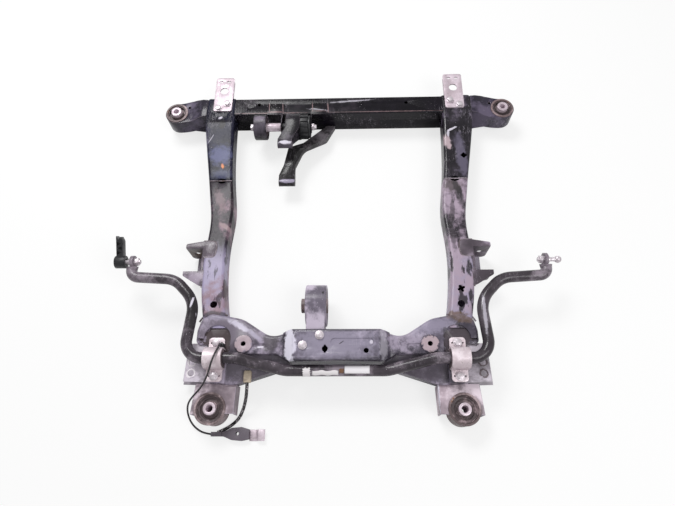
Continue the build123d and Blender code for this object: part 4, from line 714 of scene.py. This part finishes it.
# Base colour, dust, its share, roughness
RUBBER = dusty_matt("bush_rubber", (0.085, 0.062, 0.066), (0.36, 0.27, 0.29), 0.8, 0.45, seed=1.0)
PLASTIC = dusty_matt(
    "black_plastic", (0.015, 0.015, 0.018), (0.10, 0.09, 0.10), 0.35, 0.35, seed=2.0
)
BEIGE = dusty_matt("beige_plastic", (0.46, 0.38, 0.29), (0.13, 0.095, 0.075), 0.9, 0.5, seed=3.0)
SENSOR = dusty_matt("sensor_plastic", (0.13, 0.11, 0.135), (0.36, 0.31, 0.35), 0.5, 0.42, seed=4.0)
SHEATH = dusty_matt("lead_sheath", (0.030, 0.026, 0.030), (0.42, 0.38, 0.40), 0.35, 0.45, seed=5.0)
PAPER = dusty_matt(
    "bare_label", (0.84, 0.81, 0.84), (0.42, 0.30, 0.22), 0.15, 0.6, seed=6.0, grain=80
)
TAPE = dusty_matt(
    "white_tape", (0.80, 0.76, 0.78), (0.30, 0.19, 0.12), 0.42, 0.55, seed=7.0, grain=60
)
SCRAP = dusty_matt(
    "tape_adhesive", (0.17, 0.085, 0.045), (0.60, 0.52, 0.50), 0.35, 0.6, seed=7.5, grain=60
)

# Each paint's edge finish for its bevel faces: rubbed edges with a painted highlight
EDGE_HIGHLIGHT_OF = {
    BEAM: DARK_EDGE_HIGHLIGHT, RAIL_FRONT_LEFT: DARK_EDGE_HIGHLIGHT, RAIL_FRONT_RIGHT: DARK_EDGE_HIGHLIGHT, CASTING: DARK_EDGE_HIGHLIGHT,
    STAY: DARK_EDGE_HIGHLIGHT, EAR: DARK_EDGE_HIGHLIGHT, BAR: DARK_EDGE_HIGHLIGHT, RAIL_REAR_LEFT: PALE_EDGE_HIGHLIGHT,
    RAIL_REAR_RIGHT: PALE_EDGE_HIGHLIGHT, CROSS: PALE_EDGE_HIGHLIGHT, LUG: PALE_EDGE_HIGHLIGHT, ARM: PALE_EDGE_HIGHLIGHT,
    REAR_CASTING: PALE_EDGE_HIGHLIGHT,
}
MATERIAL_OF = {
    "front_crossmember": BEAM, "side_rail_front_left": RAIL_FRONT_LEFT,
    "side_rail_front_right": RAIL_FRONT_RIGHT, "side_rail_rear_left": RAIL_REAR_LEFT,
    "side_rail_rear_right": RAIL_REAR_RIGHT, "rear_crossmember": CROSS, "front_ear": EAR,
    "corner_pocket": POCKET, "rear_arm": ARM, "anti_roll_bar": BAR,
    "front_bush_shell": SHELL, "rear_bush_shell": SHELL,
    "front_bush_rubber": RUBBER, "rear_bush_rubber": RUBBER, "front_bush_sleeve": ZINC,
    "rear_bush_sleeve": ZINC, "bar_bush": RUBBER, "bar_clamp": ALLOY, "clamp_bolts": BOLTS,
    "support_bolts": BOLTS, "platform_bolts": BOLTS, "support_bracket": ZINC,
    "control_arm_bracket": LUG, "ball_stud": BOLTS, "drop_link": PLASTIC,
    "roll_mount_arm": CASTING, "roll_mount_ring_rubber": RUBBER, "roll_mount_ring": CASTING,
    "roll_mount_stay": STAY, "roll_mount_cheek": BEAM, "roll_mount_bush": PLASTIC,
    "roll_mount_sleeve": PLASTIC, "roll_mount_spacer": ZINC, "roll_mount_bolt": BOLTS,
    "rear_roll_bracket": REAR_CASTING, "rear_roll_rubber": RUBBER, "rear_roll_sleeve": SHELL,
    "lead_connector": BEIGE, "lead_clip": PLASTIC, "sensor_body": SENSOR, "sensor_bracket": ZINC,
}


def material_for(node):
    """The finish whose key is the longest start of the node's name."""
    return MATERIAL_OF[max((key for key in MATERIAL_OF if node.startswith(key)), key=len)]


def run_of(name, route, radius):
    """A round smooth curve over given points, in metres."""
    curve = bpy.data.curves.new(name, "CURVE")
    curve.dimensions = "3D"
    curve.bevel_depth = radius
    curve.bevel_resolution = RUN_ROUNDNESS
    curve.resolution_u = RUN_STEPS
    curve.use_fill_caps = True
    line = curve.splines.new("NURBS")
    line.points.add(len(route) - 1)
    for point, place in zip(line.points, route):
        point.co = (*place, 1.0)
    line.order_u = 3
    line.use_endpoint_u = True
    piece = bpy.data.objects.new(name, curve)
    bpy.context.collection.objects.link(piece)
    return piece


def line_length(piece):
    """Length of a curve's own line."""
    bare = piece.data.copy()
    bare.bevel_depth = 0
    holder = bpy.data.objects.new("measure", bare)
    mesh = bpy.data.meshes.new_from_object(holder)
    ends = (edge.vertices for edge in mesh.edges)
    total = sum((mesh.vertices[a].co - mesh.vertices[b].co).length for a, b in ends)
    bpy.data.meshes.remove(mesh)
    bpy.data.objects.remove(holder)
    bpy.data.curves.remove(bare)
    return total


def ribbed_sheath():
    """Corrugated conduit: rings of dust between dark ribs, along the curve's own length."""
    look = Finish("conduit_sheath")
    place = look.tree.nodes.new("ShaderNodeTexCoord").outputs["UV"]
    along = look.tree.nodes.new("ShaderNodeSeparateXYZ")
    look.put(along.inputs[0], place)
    wave = look.math("SINE", look.math("MULTIPLY", along.outputs["X"], tau * CONDUIT_RIBS))
    dust = look.ramp(look.noise(CONDUIT_SCALE), *CONDUIT_BAND)
    colour = look.mix(dust, CONDUIT_DARK, CONDUIT_PALE)
    colour = look.mix(look.ramp(wave, *CONDUIT_GROOVE_BAND), colour, CONDUIT_GROOVE)
    grain = look.noise(CONDUIT_GRAIN_SCALE)
    look.bump((wave, CONDUIT_RIB_DEPTH), (grain, CONDUIT_GRAIN_DEPTH))
    return look.done(colour, CONDUIT_ROUGHNESS)


def add_lead(dressed):
    """The conduit and the thin cable of the wheel-speed sensor."""
    ends = [dressed["sensor_body"], dressed["sensor_bracket"]]
    for node, route, radius, finish, far_end, pieces in (
        ("lead_conduit", CONDUIT_ROUTE, CONDUIT_RADIUS, ribbed_sheath(), "connector", ends),
        ("lead_cable", CABLE_ROUTE, CABLE_RADIUS, SHEATH, "object", []),
    ):
        lead = run_of(f"{node}_run", route, radius)
        lead.data.materials.append(finish)
        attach(lead, BODY_OF[node])
        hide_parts(node)
        line_length(lead)


def add_welds():
    """Beads half sunk round the bracket feet, along the rail seams and where the crossmember
    meets a rail."""
    for side, name in ((-1, "left"), (1, "right")):
        for key, carrier, radius, points in WELDS:
            node = f"{carrier}_{name}"
            route = [(side * x, y, WELD_LEVEL) for x, y in points]
            bead = run_of(f"weld_{key}_{name}", route, radius)
            bead.data.materials.append(WELD)
            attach(bead, BODY_OF[node])


def add_wrap(name, ends, turns, material, ragged):
    """A thin patch laid round the straight middle of the bar. turns are angles from the top."""
    lift = BAR_RADIUS + WRAP_SKIN
    made = bmesh.new()
    rows = []
    for i in range(WRAP_STEPS + 1):
        row = []
        for j in range(WRAP_ROUNDS + 1):
            fray = ragged * sin(FRAY_WAVE * j) if i in (0, WRAP_STEPS) else 0
            fringe = FRINGE_TURN * ragged * sin(FRINGE_WAVE * i) if j in (0, WRAP_ROUNDS) else 0
            x = ends[0] + (ends[1] - ends[0]) * i / WRAP_STEPS + fray
            turn = radians(turns[0] + (turns[1] - turns[0]) * j / WRAP_ROUNDS + fringe)
            row.append(made.verts.new((x, BAR_Y - lift * sin(turn), BAR_Z + lift * cos(turn))))
        rows.append(row)
    for low, high in zip(rows, rows[1:]):
        for j in range(WRAP_ROUNDS):
            made.faces.new((low[j], high[j], high[j + 1], low[j + 1]))
    bmesh.ops.recalc_face_normals(made, faces=made.faces)
    mesh = bpy.data.meshes.new(name)
    made.to_mesh(mesh)
    made.free()
    for polygon in mesh.polygons:
        polygon.use_smooth = True
    mesh.materials.append(material)
    patch = bpy.data.objects.new(name, mesh)
    bpy.context.collection.objects.link(patch)
    shell = patch.modifiers.new("sheet", "SOLIDIFY")
    shell.thickness = WRAP_SKIN
    shell.offset = 1.0
    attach(patch, "anti_roll_bar")


add_camera()
add_light()
add_floor()

dressed = {}
for node in sorted(frame["nodes"]):
    if node not in LEAD_NODES:
        finish = material_for(node)
        bevel = BOLT_BEVEL if finish is BOLTS else PLATE_BEVEL
        dressed[node] = dress(node, finish, EDGE_HIGHLIGHT_OF.get(finish), bevel)
add_lead(dressed)
add_welds()
for name, ends, turns, finish, ragged in (
    ("bare_label", (0.020, 0.078), (-42, 40), PAPER, 0.0),
    ("tape_wide", (-0.055, 0.005), (12, 60), TAPE, 0.0016),
    ("tape_short", (-0.077, -0.060), (-15, 115), TAPE, 0.0018),
    ("tape_scrap", (0.008, 0.018), (-6, 34), SCRAP, 0.0018),
):
    add_wrap(name, ends, turns, finish, ragged)
